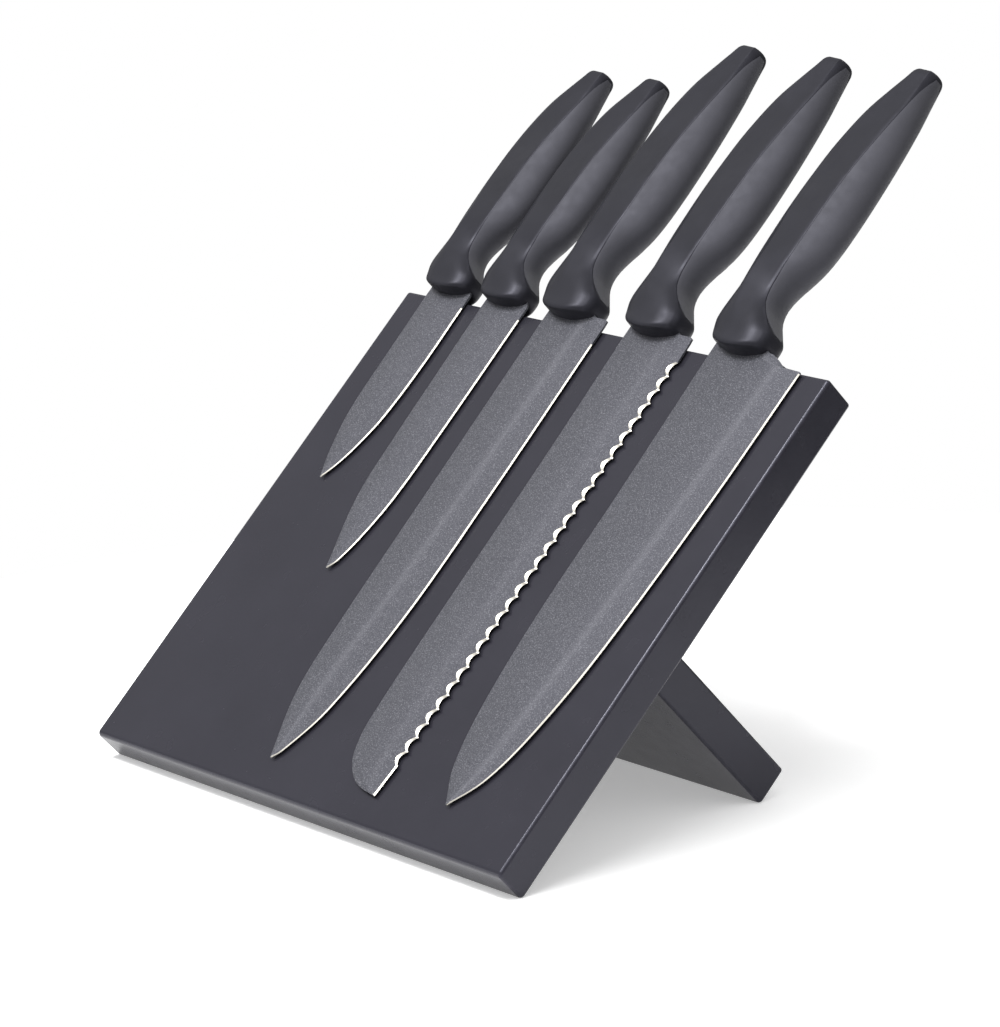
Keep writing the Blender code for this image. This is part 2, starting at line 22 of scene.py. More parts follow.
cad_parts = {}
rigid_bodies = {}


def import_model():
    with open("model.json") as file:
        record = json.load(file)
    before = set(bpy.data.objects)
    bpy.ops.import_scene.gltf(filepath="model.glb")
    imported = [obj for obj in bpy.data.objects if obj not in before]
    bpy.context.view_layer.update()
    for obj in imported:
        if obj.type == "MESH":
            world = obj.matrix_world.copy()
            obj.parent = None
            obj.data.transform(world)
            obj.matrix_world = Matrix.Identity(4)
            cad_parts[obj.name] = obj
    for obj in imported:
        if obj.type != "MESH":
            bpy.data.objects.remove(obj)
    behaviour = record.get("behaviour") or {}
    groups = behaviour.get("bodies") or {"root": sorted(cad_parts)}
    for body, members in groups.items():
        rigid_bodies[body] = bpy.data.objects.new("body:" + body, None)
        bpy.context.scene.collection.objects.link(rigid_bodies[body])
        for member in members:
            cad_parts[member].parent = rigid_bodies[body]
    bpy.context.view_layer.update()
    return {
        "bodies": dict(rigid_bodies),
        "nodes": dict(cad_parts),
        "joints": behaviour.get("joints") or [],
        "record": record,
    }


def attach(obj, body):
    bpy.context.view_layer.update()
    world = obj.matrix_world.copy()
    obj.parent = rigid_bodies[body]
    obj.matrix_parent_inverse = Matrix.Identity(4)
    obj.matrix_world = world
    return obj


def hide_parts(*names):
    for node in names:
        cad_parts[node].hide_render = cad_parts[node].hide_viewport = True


LOG = logging.getLogger("knife_rack")
MM = 0.001
ARRIS_MASK = "arris"
GLOSS_TINT = (0.84, 0.84, 1.0, 1.0)
WHITE = (1.0, 1.0, 1.0, 1.0)

Colour = tuple[float, float, float]
Point = tuple[float, ...]
Clouds = tuple[float, float, float]
Ramp = tuple[float, float, float, float]


class Surface(Enum):
    """The record's material slots, one for each kind of surface."""

    PANEL = "satin_coating"
    BACK = "back_coating"
    MAGNET = "nickel_plate"
    KEEPER = "zinc_plate"
    HINGE = "hinge_steel"
    SCREW = "screw_steel"
    BLADE = "blade_coating"
    CORE = "handle_plastic"
    GRIP = "soft_grip"


class Side(Enum):
    """The two hinges, by the side of the board they are on."""

    LEFT = -1
    RIGHT = 1


# ---------------------------------------------------------------------------- finishes


class NodeSheet:
    """Lays out the nodes of one material or of one shared effect."""

    def __init__(self, tree: bpy.types.NodeTree) -> None:
        """Take the tree to work on."""
        self.tree = tree

    def add(self, kind: str, feeds: dict[str | int, object] | None = None,
            **settings: object) -> bpy.types.Node:
        """Add a node, set its options and feed its inputs.

        Args:
            kind: the node's type, without its ShaderNode prefix.
            feeds: a value or an output socket for each input.
            **settings: the node's own options.

        Returns:
            The new node.
        """
        node = self.tree.nodes.new(f"ShaderNode{kind}")
        node.location = (len(self.tree.nodes) * 190 - 2400, 0)
        for option, value in settings.items():
            setattr(node, option, value)
        for socket, value in (feeds or {}).items():
            self.feed(node, socket, value)
        return node

    def feed(self, node: bpy.types.Node, socket: str | int, value: object) -> None:
        """Give an input a value, or join an output socket to it.

        Args:
            node: the node.
            socket: name or number of its input.
            value: the value or the output socket.
        """
        if isinstance(value, bpy.types.NodeSocket):
            self.tree.links.new(value, node.inputs[socket])
        else:
            node.inputs[socket].default_value = value

    def blend(self, mask: object, under: object, over: object) -> bpy.types.NodeSocket:
        """Mix two colours by a mask.

        Args:
            mask: 0 for the colour below, 1 for the colour on top.
            under: the colour below.
            over: the colour on top.

        Returns:
            The mixed colour.
        """
        node = self.add("Mix", data_type="RGBA")
        for index, value in ((0, mask), (6, under), (7, over)):
            self.feed(node, index, (*value, 1.0) if isinstance(value, tuple) else value)
        return node.outputs[2]

    def sum(self, first: object, second: object, operation: str = "ADD") -> bpy.types.NodeSocket:
        """Combine two values with one of the Math node's operations.

        Args:
            first: the first value or socket.
            second: the second value or socket.
            operation: the Math node's operation.

        Returns:
            The result.
        """
        return self.add("Math", {0: first, 1: second}, operation=operation).outputs[0]

    def spread(self, value: object, low: object, high: object, new_low: object = 0.0,
               new_high: object = 1.0) -> bpy.types.NodeSocket:
        """Spread the values between two bounds over a new range, and clamp the rest.

        Args:
            value: the value or socket.
            low: the value that becomes the new lowest.
            high: the value that becomes the new highest.
            new_low: the new lowest value.
            new_high: the new highest value.

        Returns:
            The result.
        """
        feeds = {"Value": value, "From Min": low, "From Max": high, "To Min": new_low,
                 "To Max": new_high}
        return self.add("MapRange", feeds).outputs["Result"]

    def bump(self, height: object, depth: float) -> bpy.types.NodeSocket:
        """Turn a height from 0 to 1 into a normal.

        Args:
            height: the height over the surface.
            depth: how deep the full height is, in mm.

        Returns:
            The bumped normal.
        """
        return self.add("Bump", {"Height": height, "Distance": depth * MM}).outputs["Normal"]


@dataclass
class Effects:
    """The effects that several finishes share, each a node group."""

    grain: bpy.types.NodeTree = field(init=False)
    speckle: bpy.types.NodeTree = field(init=False)
    lines: bpy.types.NodeTree = field(init=False)
    wear_and_painted_highlight: bpy.types.NodeTree = field(init=False)

    def __post_init__(self) -> None:
        """Build each group once."""
        self.grain = self._make_grain()
        self.speckle = self._make_speckle()
        self.lines = self._make_lines()
        self.wear_and_painted_highlight = self._make_wear_and_painted_highlight()

    @staticmethod
    def _new_group(name: str, inputs: dict[str, object]) -> tuple[NodeSheet, dict]:
        """Start a group with a Position, the given number inputs and one Value output.

        Args:
            name: the group's name.
            inputs: default value of each number input.

        Returns:
            The sheet to draw on, and the group's inputs by name.
        """
        tree = bpy.data.node_groups.new(name, "ShaderNodeTree")
        tree.interface.new_socket("Position", in_out="INPUT", socket_type="NodeSocketVector")
        for label, value in inputs.items():
            socket = tree.interface.new_socket(label, in_out="INPUT",
                                               socket_type="NodeSocketFloat")
            socket.default_value = value
        tree.interface.new_socket("Value", in_out="OUTPUT", socket_type="NodeSocketFloat")
        start = tree.nodes.new("NodeGroupInput")
        return NodeSheet(tree), {socket.name: socket for socket in start.outputs}

    @staticmethod
    def _close_group(sheet: NodeSheet, value: bpy.types.NodeSocket) -> bpy.types.NodeTree:
        """Join the result to the group's output.

        Args:
            sheet: the group's sheet.
            value: the result.

        Returns:
            The finished group.
        """
        end = sheet.tree.nodes.new("NodeGroupOutput")
        sheet.tree.links.new(value, end.inputs["Value"])
        return sheet.tree

    @staticmethod
    def _noise(sheet: NodeSheet, position: object, size: object, detail: float,
               stretch: object = None) -> bpy.types.NodeSocket:
        """Noise with features of a given size.

        Args:
            sheet: the group's sheet.
            position: the coordinates it reads.
            size: size of the features, in mm.
            detail: how many finer layers it has.
            stretch: factors for the coordinates, if the features are drawn out.

        Returns:
            The noise, from 0 to 1.
        """
        scaled = sheet.add("VectorMath", {0: position, "Scale": sheet.sum(1 / MM, size, "DIVIDE")},
                           operation="SCALE").outputs[0]
        if stretch is not None:
            scaled = sheet.add("VectorMath", {0: scaled, 1: stretch},
                               operation="MULTIPLY").outputs[0]
        return sheet.add("TexNoise", {"Vector": scaled, "Scale": 1.0,
                                      "Detail": detail}).outputs["Fac"]

    def _make_grain(self) -> bpy.types.NodeTree:
        """Soft clouds of one size, from a low value to a high one.

        Returns:
            The group.
        """
        sheet, given = self._new_group("Soft grain", {"Size": 1.0, "Low": 0.0, "High": 1.0})
        noise = self._noise(sheet, given["Position"], given["Size"], 3.0)
        return self._close_group(sheet, sheet.spread(noise, 0.3, 0.7, given["Low"], given["High"]))

    def _make_speckle(self) -> bpy.types.NodeTree:
        """Separate fine grains, more of them the lower the threshold.

        Returns:
            The group.
        """
        sheet, given = self._new_group("Fine speckle", {"Size": 0.4, "Threshold": 0.55})
        noise = self._noise(sheet, given["Position"], given["Size"], 1.0)
        upper = sheet.sum(given["Threshold"], 0.1)
        return self._close_group(sheet, sheet.spread(noise, given["Threshold"], upper))

    def _make_lines(self) -> bpy.types.NodeTree:
        """Fine lines along X, as rolling or grinding leaves them.

        Returns:
            The group.
        """
        sheet, given = self._new_group("Drawn lines", {"Size": 0.15, "Length": 12.0})
        ratio = sheet.sum(given["Size"], given["Length"], "DIVIDE")
        squash = sheet.add("CombineXYZ", {"X": ratio, "Y": 1.0, "Z": 1.0}).outputs[0]
        return self._close_group(sheet, self._noise(sheet, given["Position"], given["Size"], 2.0,
                                                    squash))

    def _make_wear_and_painted_highlight(self) -> bpy.types.NodeTree:
        """Scuffing and a painted highlight, broken up, on the arrises that the mesh's mask marks.

        Returns:
            The group.
        """
        sheet, given = self._new_group("Edge wear", {"Arris": 0.0, "Amount": 0.5})
        # Lighter where the mask is: partly scuffing, partly a painted highlight.
        rubbed_and_painted_highlight = sheet.spread(self._noise(sheet, given["Position"], 4.0, 4.0), 0.35, 0.65)
        on_edge = sheet.sum(given["Arris"], rubbed_and_painted_highlight, "MULTIPLY")
        return self._close_group(sheet, sheet.sum(on_edge, given["Amount"], "MULTIPLY"))


@dataclass
class Mix:
    """One material while it is mixed: its sheet, the shared effects and its coordinates."""

    sheet: NodeSheet
    effects: Effects
    position: bpy.types.NodeSocket
    roughness: tuple[float, float]

    def use(self, effect: bpy.types.NodeTree, position: object = None,
            **values: object) -> bpy.types.NodeSocket:
        """Place a shared effect in the material.

        Args:
            effect: the effect's group.
            position: the coordinates it reads, if not the material's own.
            **values: the group's other inputs, in small letters.

        Returns:
            The effect's value.
        """
        feeds = {"Position": self.position if position is None else position}
        feeds.update({label.capitalize(): value for label, value in values.items()})
        return self.sheet.add("Group", feeds, node_tree=effect).outputs["Value"]

    def grain(self, size: float, **values: object) -> bpy.types.NodeSocket:
        """Soft clouds of a size in mm."""
        return self.use(self.effects.grain, size=size, **values)

    def gloss(self, size: float) -> bpy.types.NodeSocket:
        """The finish's roughness, clouded at a size in mm."""
        low, high = self.roughness
        return self.grain(size, low=low, high=high)

    def mask(self) -> bpy.types.NodeSocket:
        """The mask that the mesh carries."""
        return self.sheet.add("Attribute", attribute_name=ARRIS_MASK).outputs["Fac"]

    def wear_and_painted_highlight(self, amount: float) -> bpy.types.NodeSocket:
        """Scuffing and a painted highlight along the arrises, of an amount from 0 to 1."""
        return self.use(self.effects.wear_and_painted_highlight, arris=self.mask(), amount=amount)

    def share(self, mask: bpy.types.NodeSocket, part: float) -> bpy.types.NodeSocket:
        """A part of a mask."""
        return self.sheet.sum(mask, part, "MULTIPLY")


@dataclass(frozen=True)
class Finish:
    """A surface finish: a base colour and what its kind of surface adds."""

    name: str
    colour: Colour
    roughness: tuple[float, float] = (0.4, 0.5)

    def make(self, effects: Effects) -> bpy.types.Material:
        """Make the finish's material.

        Args:
            effects: the shared effects.

        Returns:
            The material.
        """
        material = bpy.data.materials.new(self.name)
        material.use_nodes = True
        sheet = NodeSheet(material.node_tree)
        position = sheet.add("TexCoord").outputs["Object"]
        shader = material.node_tree.nodes["Principled BSDF"]
        for socket, value in self.sockets(Mix(sheet, effects, position, self.roughness)).items():
            sheet.feed(shader, socket, value)
        return material

    def sockets(self, mix: Mix) -> dict[str, object]:
        """What each of the shader's inputs gets.

        Args:
            mix: the material's mix.

        Returns:
            A value or an output socket for each input of the shader.
        """
        raise NotImplementedError

    def tinted(self, factor: float) -> Colour:
        """The base colour, made lighter or darker."""
        return tuple(min(part * factor, 1.0) for part in self.colour)

    def clouded(self, mix: Mix, clouds: Clouds) -> bpy.types.NodeSocket:
        """The base colour, clouded by a size in mm, a darkest and a lightest factor."""
        size, dark, light = clouds
        return mix.sheet.blend(mix.grain(size), self.tinted(dark), self.tinted(light))


@dataclass(frozen=True)
class SatinLacquer(Finish):
    """Sprayed lacquer: faint clouds, orange peel, and arrises lighter by scuffing and a painted
    highlight.
    """

    peel_size: float = 1.4
    peel_depth: float = 0.012
    worn_and_painted_highlight: float = 0.35
    rubbed_and_painted_highlight: float = 2.0
    clouds: Clouds = (34.0, 0.93, 1.07)

    def sockets(self, mix: Mix) -> dict[str, object]:
        """Clouded colour, uneven gloss and peel. See Finish.sockets."""
        colour = self.clouded(mix, self.clouds)
        # Arrises lighter: partly scuffing, partly a painted highlight.
        colour = mix.sheet.blend(mix.wear_and_painted_highlight(self.worn_and_painted_highlight), colour, self.tinted(self.rubbed_and_painted_highlight))
        return {"Base Color": colour, "Roughness": mix.gloss(9.0),
                "Normal": mix.sheet.bump(mix.grain(self.peel_size), self.peel_depth),
                "Specular IOR Level": 0.27, "Specular Tint": GLOSS_TINT}


@dataclass(frozen=True)
class BackLacquer(Finish):
    """A thin matt coat on hardboard, which lets its pressed fibres show."""

    clouds: Clouds = (22.0, 0.85, 1.12)

    def sockets(self, mix: Mix) -> dict[str, object]:
        """Fibres in colour and relief. See Finish.sockets."""
        fibre = mix.use(mix.effects.lines, size=0.35, length=3.0)
        colour = mix.sheet.blend(fibre, self.clouded(mix, self.clouds), self.tinted(1.25))
        return {"Base Color": colour, "Roughness": mix.gloss(3.0),
                "Normal": mix.sheet.bump(fibre, 0.03), "Specular IOR Level": 0.3}


@dataclass(frozen=True)
class NonStickCoating(Finish):
    """Stone-look non-stick coat on steel: pale and dark grains, with a painted highlight along the
    grind line.
    """

    light: Colour = (0.16, 0.16, 0.175)
    dark: Colour = (0.02, 0.02, 0.024)
    grain_size: float = 0.42
    dark_grain_size: float = 0.546
    dark_grains_move: Point = (0.031, 0.017, 0.023)
    pale_share: float = 0.62
    dark_share: float = 0.7
    belt_painted_highlight_share: float = 0.22
    clouds: Clouds = (26.0, 0.95, 1.05)

    def sockets(self, mix: Mix) -> dict[str, object]:
        """Two sorts of grains over a clouded base. See Finish.sockets."""
        sheet, speckle = mix.sheet, mix.effects.speckle
        pale = mix.use(speckle, size=self.grain_size, threshold=0.54)
        moved = sheet.add("VectorMath", {0: mix.position, 1: self.dark_grains_move}).outputs[0]
        deep = mix.use(speckle, moved, size=self.dark_grain_size, threshold=0.55)
        colour = self.clouded(mix, self.clouds)
        # The last pair paints a highlight along the grind line from the mesh's mask.
        for mask, part, over in ((pale, self.pale_share, self.light),
                                 (deep, self.dark_share, self.dark),
                                 (mix.mask(), self.belt_painted_highlight_share, self.light)):
            colour = sheet.blend(mix.share(mask, part), colour, over)
        return {"Base Color": colour, "Roughness": mix.gloss(1.1),
                "Normal": sheet.bump(sheet.sum(pale, deep, "SUBTRACT"), 0.006),
                "Specular IOR Level": 0.45, "Specular Tint": GLOSS_TINT}


@dataclass(frozen=True)
class WorkedMetal(Finish):
    """Bare metal with the lines that rolling, drawing or grinding leaves."""

    line_size: float = 0.16
    line_length: float = 9.0
    line_depth: float = 0.004
    turn: Point = (0.0, 0.0, 0.0)
    stain: float = 0.25

    def sockets(self, mix: Mix) -> dict[str, object]:
        """Lines in colour, gloss and relief, and faint stains. See Finish.sockets."""
        angles = tuple(math.radians(angle) for angle in self.turn)
        turned = mix.sheet.add("Mapping", {"Vector": mix.position, "Rotation": angles}).outputs[0]
        lines = mix.use(mix.effects.lines, turned, size=self.line_size, length=self.line_length)
        colour = mix.sheet.blend(lines, self.tinted(0.88), self.tinted(1.1))
        colour = mix.sheet.blend(mix.grain(5.0, high=self.stain), colour, self.tinted(0.6))
        return {"Base Color": colour, "Metallic": 1.0,
                "Roughness": mix.sheet.spread(lines, 0.3, 0.7, *self.roughness),
                "Normal": mix.sheet.bump(lines, self.line_depth)}


@dataclass(frozen=True)
class PlatedMetal(Finish):
    """Plating: a cell pattern of slightly different greys over an uneven gloss."""

    cell_size: float = 2.5
    contrast: float = 0.12

    def sockets(self, mix: Mix) -> dict[str, object]:
        """Cells in the colour, clouds in the gloss. See Finish.sockets."""
        sheet, scale = mix.sheet, 1 / (self.cell_size * MM)
        cells = sheet.add("TexVoronoi", {"Vector": mix.position, "Scale": scale})
        tone = sheet.add("SeparateColor", {"Color": cells.outputs["Color"]}).outputs[0]
        colour = sheet.blend(tone, self.tinted(1 - self.contrast), self.tinted(1 + self.contrast))
        return {"Base Color": colour, "Roughness": mix.gloss(1.5), "Metallic": 1.0,
                "Normal": sheet.bump(mix.grain(0.6), 0.004)}


@dataclass(frozen=True)
class MouldedPlastic(Finish):
    """Hard plastic from a finely eroded mould, lighter along its ridges by scuffing and a painted
    highlight.
    """

    texture_size: float = 0.3
    texture_depth: float = 0.006
    worn_and_painted_highlight: float = 0.5
    rubbed_and_painted_highlight: float = 2.6
    clouds: Clouds = (14.0, 0.9, 1.12)

    def sockets(self, mix: Mix) -> dict[str, object]:
        """Eroded texture, faint clouds and ridges lighter by scuffing and a painted highlight. See
        Finish.sockets.
        """
        colour = self.clouded(mix, self.clouds)
        # Ridges lighter: partly scuffing, partly a painted highlight.
        colour = mix.sheet.blend(mix.wear_and_painted_highlight(self.worn_and_painted_highlight), colour, self.tinted(self.rubbed_and_painted_highlight))
        return {"Base Color": colour, "Roughness": mix.gloss(5.0),
                "Normal": mix.sheet.bump(mix.grain(self.texture_size), self.texture_depth),
                "Specular IOR Level": 0.18, "Specular Tint": GLOSS_TINT}


@dataclass(frozen=True)
class SoftGrip(Finish):
    """Soft-touch elastomer: matt and finely grained, with a velvety sheen and lint."""

    sheen: float = 0.15
    grain_share: float = 0.3
    clouds: Clouds = (11.0, 0.92, 1.08)

    def sockets(self, mix: Mix) -> dict[str, object]:
        """Fine grain, lint and sheen. See Finish.sockets."""
        grain = mix.grain(0.35)
        lint = mix.use(mix.effects.speckle, size=0.5, threshold=0.72)
        colour = self.clouded(mix, self.clouds)
        for mask, factor in ((grain, 1.3), (lint, 2.2)):
            colour = mix.sheet.blend(mix.share(mask, self.grain_share), colour,
                                     self.tinted(factor))
        return {"Base Color": colour, "Roughness": mix.gloss(4.0),
                "Normal": mix.sheet.bump(grain, 0.012), "Specular IOR Level": 0.3,
                "Specular Tint": GLOSS_TINT, "Sheen Weight": self.sheen, "Sheen Roughness": 0.5}


@dataclass(frozen=True)
class StudioPaper(Finish):
    """Pale seamless paper under the rack, lit through from below."""

    glow: float = 0.35
    clouds: Clouds = (180.0, 0.99, 1.01)

    def sockets(self, mix: Mix) -> dict[str, object]:
        """A barely clouded pale colour. See Finish.sockets."""
        return {"Base Color": self.clouded(mix, self.clouds),
                "Roughness": self.roughness[0], "Emission Color": WHITE,
                "Emission Strength": self.glow}


@dataclass(frozen=True)
class FinishRange:
    """Every finish of the rack, by the record's slots, with the ground steel of the edges."""

    edge: Finish = WorkedMetal("ground_edge", (0.58, 0.555, 0.50), (0.38, 0.5), line_size=0.12,
                               line_length=3.0, line_depth=0.002, stain=0.08)
    paper: Finish = StudioPaper("studio_paper", (0.9, 0.9, 0.9), (0.7, 0.7))

    @staticmethod
    def by_surface() -> dict[Surface, Finish]:
        """Choose the finish of each record slot.

        Returns:
            The finishes by slot.
        """
        lean = (-45.0, 0.0, 0.0)
        return {
            Surface.PANEL: SatinLacquer("satin_coating", (0.0175, 0.017, 0.0225), (0.22, 0.28)),
            Surface.BACK: BackLacquer("back_coating", (0.022, 0.0215, 0.025), (0.5, 0.64)),
            Surface.MAGNET: PlatedMetal("nickel_plate", (0.62, 0.60, 0.56), (0.2, 0.32)),
            Surface.KEEPER: PlatedMetal("zinc_plate", (0.48, 0.49, 0.50), (0.34, 0.5), 4.0, 0.2),
            Surface.HINGE: WorkedMetal("hinge_steel", (0.50, 0.50, 0.51), (0.24, 0.4), turn=lean),
            Surface.SCREW: WorkedMetal("screw_steel", (0.42, 0.42, 0.43), (0.25, 0.42), 0.1, 2.0),
            Surface.BLADE: NonStickCoating("blade_coating", (0.044, 0.045, 0.052), (0.42, 0.54)),
            Surface.CORE: MouldedPlastic("handle_plastic", (0.014, 0.014, 0.0175), (0.34, 0.44)),
            Surface.GRIP: SoftGrip("soft_grip", (0.034, 0.034, 0.040), (0.54, 0.66)),
        }


# ---------------------------------------------------------------------------- shaping


def boxed(low: Point, high: Point) -> BMesh:
    """A box between two corners.

    Args:
        low: its lowest corner.
        high: its highest corner.

    Returns:
        The box, as a new bmesh.
    """
    start, end = Vector(low), Vector(high)
    shape = bmesh.new()
    place = Matrix.Translation((start + end) / 2) @ Matrix.Diagonal((*(end - start), 1))
    bmesh.ops.create_cube(shape, size=1, matrix=place)
    return shape


def rod(start: Point, end: Point, radius: float, end_radius: float | None = None,
        sides: int = 48) -> BMesh:
    """A cylinder or a cone from one centre to another.

    Args:
        start: centre of the first end.
        end: centre of the other end.
        radius: radius at the first end.
        end_radius: radius at the other end, if it differs.
        sides: number of sides.

    Returns:
        The cylinder, as a new bmesh.
    """
    first, last = Vector(start), Vector(end)
    turn = (last - first).to_track_quat("Z", "Y").to_matrix().to_4x4()
    shape = bmesh.new()
    bmesh.ops.create_cone(shape, cap_ends=True, segments=sides, radius1=radius,
                          radius2=radius if end_radius is None else end_radius,
                          depth=(last - first).length,
                          matrix=Matrix.Translation((first + last) / 2) @ turn)
    return shape


def linked(name: str, data: bpy.types.ID) -> bpy.types.Object:
    """Put an object in the scene.

    Args:
        name: the object's name.
        data: its mesh, light or camera.

    Returns:
        The object.
    """
    item = bpy.data.objects.new(name, data)
    bpy.context.scene.collection.objects.link(item)
    return item


def rounded(shape: BMesh, edges: Sequence[BMEdge], radius: float, steps: int) -> set:
    """Round edges of a shape.

    Args:
        shape: the shape.
        edges: its edges to round.
        radius: radius of the rounding.
        steps: segments across a rounding.

    Returns:
        The faces of the rounding.
    """
    made = bmesh.ops.bevel(shape, geom=edges, offset=radius, offset_type="OFFSET",
                           segments=steps, profile=0.5, affect="EDGES", clamp_overlap=True,
                           material=-1)
    return set(made["faces"])


def round_arrises(shape: BMesh, radius: float, foot_radius: float, steps: int) -> BMesh:
    """Round every edge, the two at its foot more, and mark the rounds for scuffing and a painted
    highlight.

    Args:
        shape: a box that stands on its lowest edge once it leans back.
        radius: radius of the rounding.
        foot_radius: radius along the edge that it stands on, and along the foremost one.
        steps: segments across a rounding.

    Returns:
        The same bmesh.
    """
    mask = shape.verts.layers.float.new(ARRIS_MASK)
    low = min(corner.co.y + corner.co.z for corner in shape.verts)
    front = min(corner.co.y - corner.co.z for corner in shape.verts)
    foot = [edge for edge in shape.edges
            if all(corner.co.y + corner.co.z < low + 0.01 for corner in edge.verts)
            or all(corner.co.y - corner.co.z < front + 0.01 for corner in edge.verts)]
    first = rounded(shape, foot, foot_radius, steps)
    square = [edge for edge in shape.edges if edge.calc_face_angle(0.0) > math.radians(60)]
    rest = rounded(shape, square, radius, steps)
    rounds = {face for face in first if face.is_valid} | rest
    # The mask lightens these rounds in the lacquer: scuffing and a painted highlight.
    for corner in shape.verts:
        corner[mask] = float(all(face in rounds for face in corner.link_faces))
    return shape


def scratch_object(shape: BMesh) -> bpy.types.Object:
    """Make a passing object of a shape.

    Args:
        shape: the shape, which is used up.

    Returns:
        The object.
    """
    bmesh.ops.recalc_face_normals(shape, faces=shape.faces)
    mesh = bpy.data.meshes.new("scratch")
    shape.to_mesh(mesh)
    shape.free()
    return linked("scratch", mesh)


def carve(shape: BMesh, tools: Sequence[tuple[str, BMesh]]) -> BMesh:
    """Join shapes to a body or cut them out of it, one after another.

    Args:
        shape: the body, which is used up.
        tools: an operation, UNION or DIFFERENCE, and the shape it uses, for each step.

    Returns:
        The result, as a new bmesh.
    """
    body = scratch_object(shape)
    scratch = [body]
    for operation, part in tools:
        scratch.append(scratch_object(part))
        step = body.modifiers.new(operation, "BOOLEAN")
        step.operation = operation
        step.solver = "EXACT"
        step.object = scratch[-1]
    seen = body.evaluated_get(bpy.context.evaluated_depsgraph_get())
    result = bmesh.new()
    result.from_mesh(seen.to_mesh())
    seen.to_mesh_clear()
    for item in scratch:
        mesh = item.data
        bpy.data.objects.remove(item)
        bpy.data.meshes.remove(mesh)
    return result


def loft(rings: Sequence[Sequence[Vector]], closed: bool = True) -> tuple[BMesh, list]:
    """A skin through rings of points, drawn out one ring at a time.

    Args:
        rings: the rings, each with the same number of points.
        closed: whether the two ends are closed with a face.

    Returns:
        The bmesh, and its vertices ring by ring.
    """
    shape = bmesh.new()
    shape.verts.layers.float.new(ARRIS_MASK)
    row: list[BMVert] = [shape.verts.new(point) for point in rings[0]]
    edges: list[BMEdge] = [shape.edges.new((row[index - 1], row[index]))
                           for index in range(len(row))]
    if closed:
        bmesh.ops.contextual_create(shape, geom=edges)
    rows = [row]
    for ring in rings[1:]:
        place = {corner: index for index, corner in enumerate(row)}
        grown = bmesh.ops.extrude_edge_only(shape, edges=edges)["geom"]
        fresh = [item for item in grown if isinstance(item, BMVert)]
        edges = [item for item in grown if isinstance(item, BMEdge)
                 and all(corner not in place for corner in item.verts)]
        following: list[BMVert | None] = [None] * len(row)
        for corner in fresh:
            origin = next(edge.other_vert(corner) for edge in corner.link_edges
                          if edge.other_vert(corner) in place)
            following[place[origin]] = corner
        for corner, point in zip(following, ring):
            corner.co = point
        row = following
        rows.append(row)
    if closed:
        bmesh.ops.contextual_create(shape, geom=edges)
    return shape, rows


def mirrored(points: Sequence[Vector]) -> list[Vector]:
    """The points on the far side, in the opposite order."""
    return [Vector((point.x, point.y, -point.z)) for point in reversed(points)]


def hermite(t: float, start: object, leave: object, end: object, arrive: object) -> object:
    """A value or a point on a smooth stretch.

    Args:
        t: how far along the stretch, from 0 to 1.
        start: where it starts.
        leave: its slope there.
        end: where it ends.
        arrive: its slope there.

    Returns:
        The value or the point.
    """
    return (start * (2 * t ** 3 - 3 * t ** 2 + 1) + leave * (t ** 3 - 2 * t ** 2 + t)
            + end * (3 * t ** 2 - 2 * t ** 3) + arrive * (t ** 3 - t ** 2))


def smooth_curve(points: Sequence[Point], steps: int) -> list[Vector]:
    """Points along a smooth curve through the given points.

    Args:
        points: the points it passes through.
        steps: new points for each stretch between two of them.

    Returns:
        The points of the curve.
    """
    knots = [Vector(point) for point in points]
    knots = [2 * knots[0] - knots[1], *knots, 2 * knots[-1] - knots[-2]]
    curve = []
    for before, start, end, after in zip(knots, knots[1:], knots[2:], knots[3:]):
        span = (end - start).length
        leave = (end - before) * span / (span + (start - before).length)
        arrive = (after - start) * span / (span + (after - end).length)
        curve += [hermite(step / steps, start, leave, end, arrive) for step in range(steps)]
    return [*curve, knots[-2]]


def across(curve: Sequence[Vector], y: float) -> float:
    """Where a curve that climbs steadily in Y stands at one height.

    Args:
        curve: its points, lowest first.
        y: the height.

    Returns:
        Its X there.
    """
    for low, high in zip(curve, curve[1:]):
        if y <= high.y:
            return low.x + (high.x - low.x) * (y - low.y) / max(high.y - low.y, 1e-9)
    return curve[-1].x


def ease(start: float, end: float, value: float) -> float:
    """How far a value has gone from start to end, from 0 to 1 with soft ends."""
    t = min(max((value - start) / (end - start), 0.0), 1.0)
    return t * t * (3 - 2 * t)


def ramp(value: float, steps: Ramp) -> float:
    """A number that goes softly from the third of four to the fourth, between the first two."""
    start, end, first, last = steps
    return first + (last - first) * ease(start, end, value)


# ---------------------------------------------------------------------------- workshop


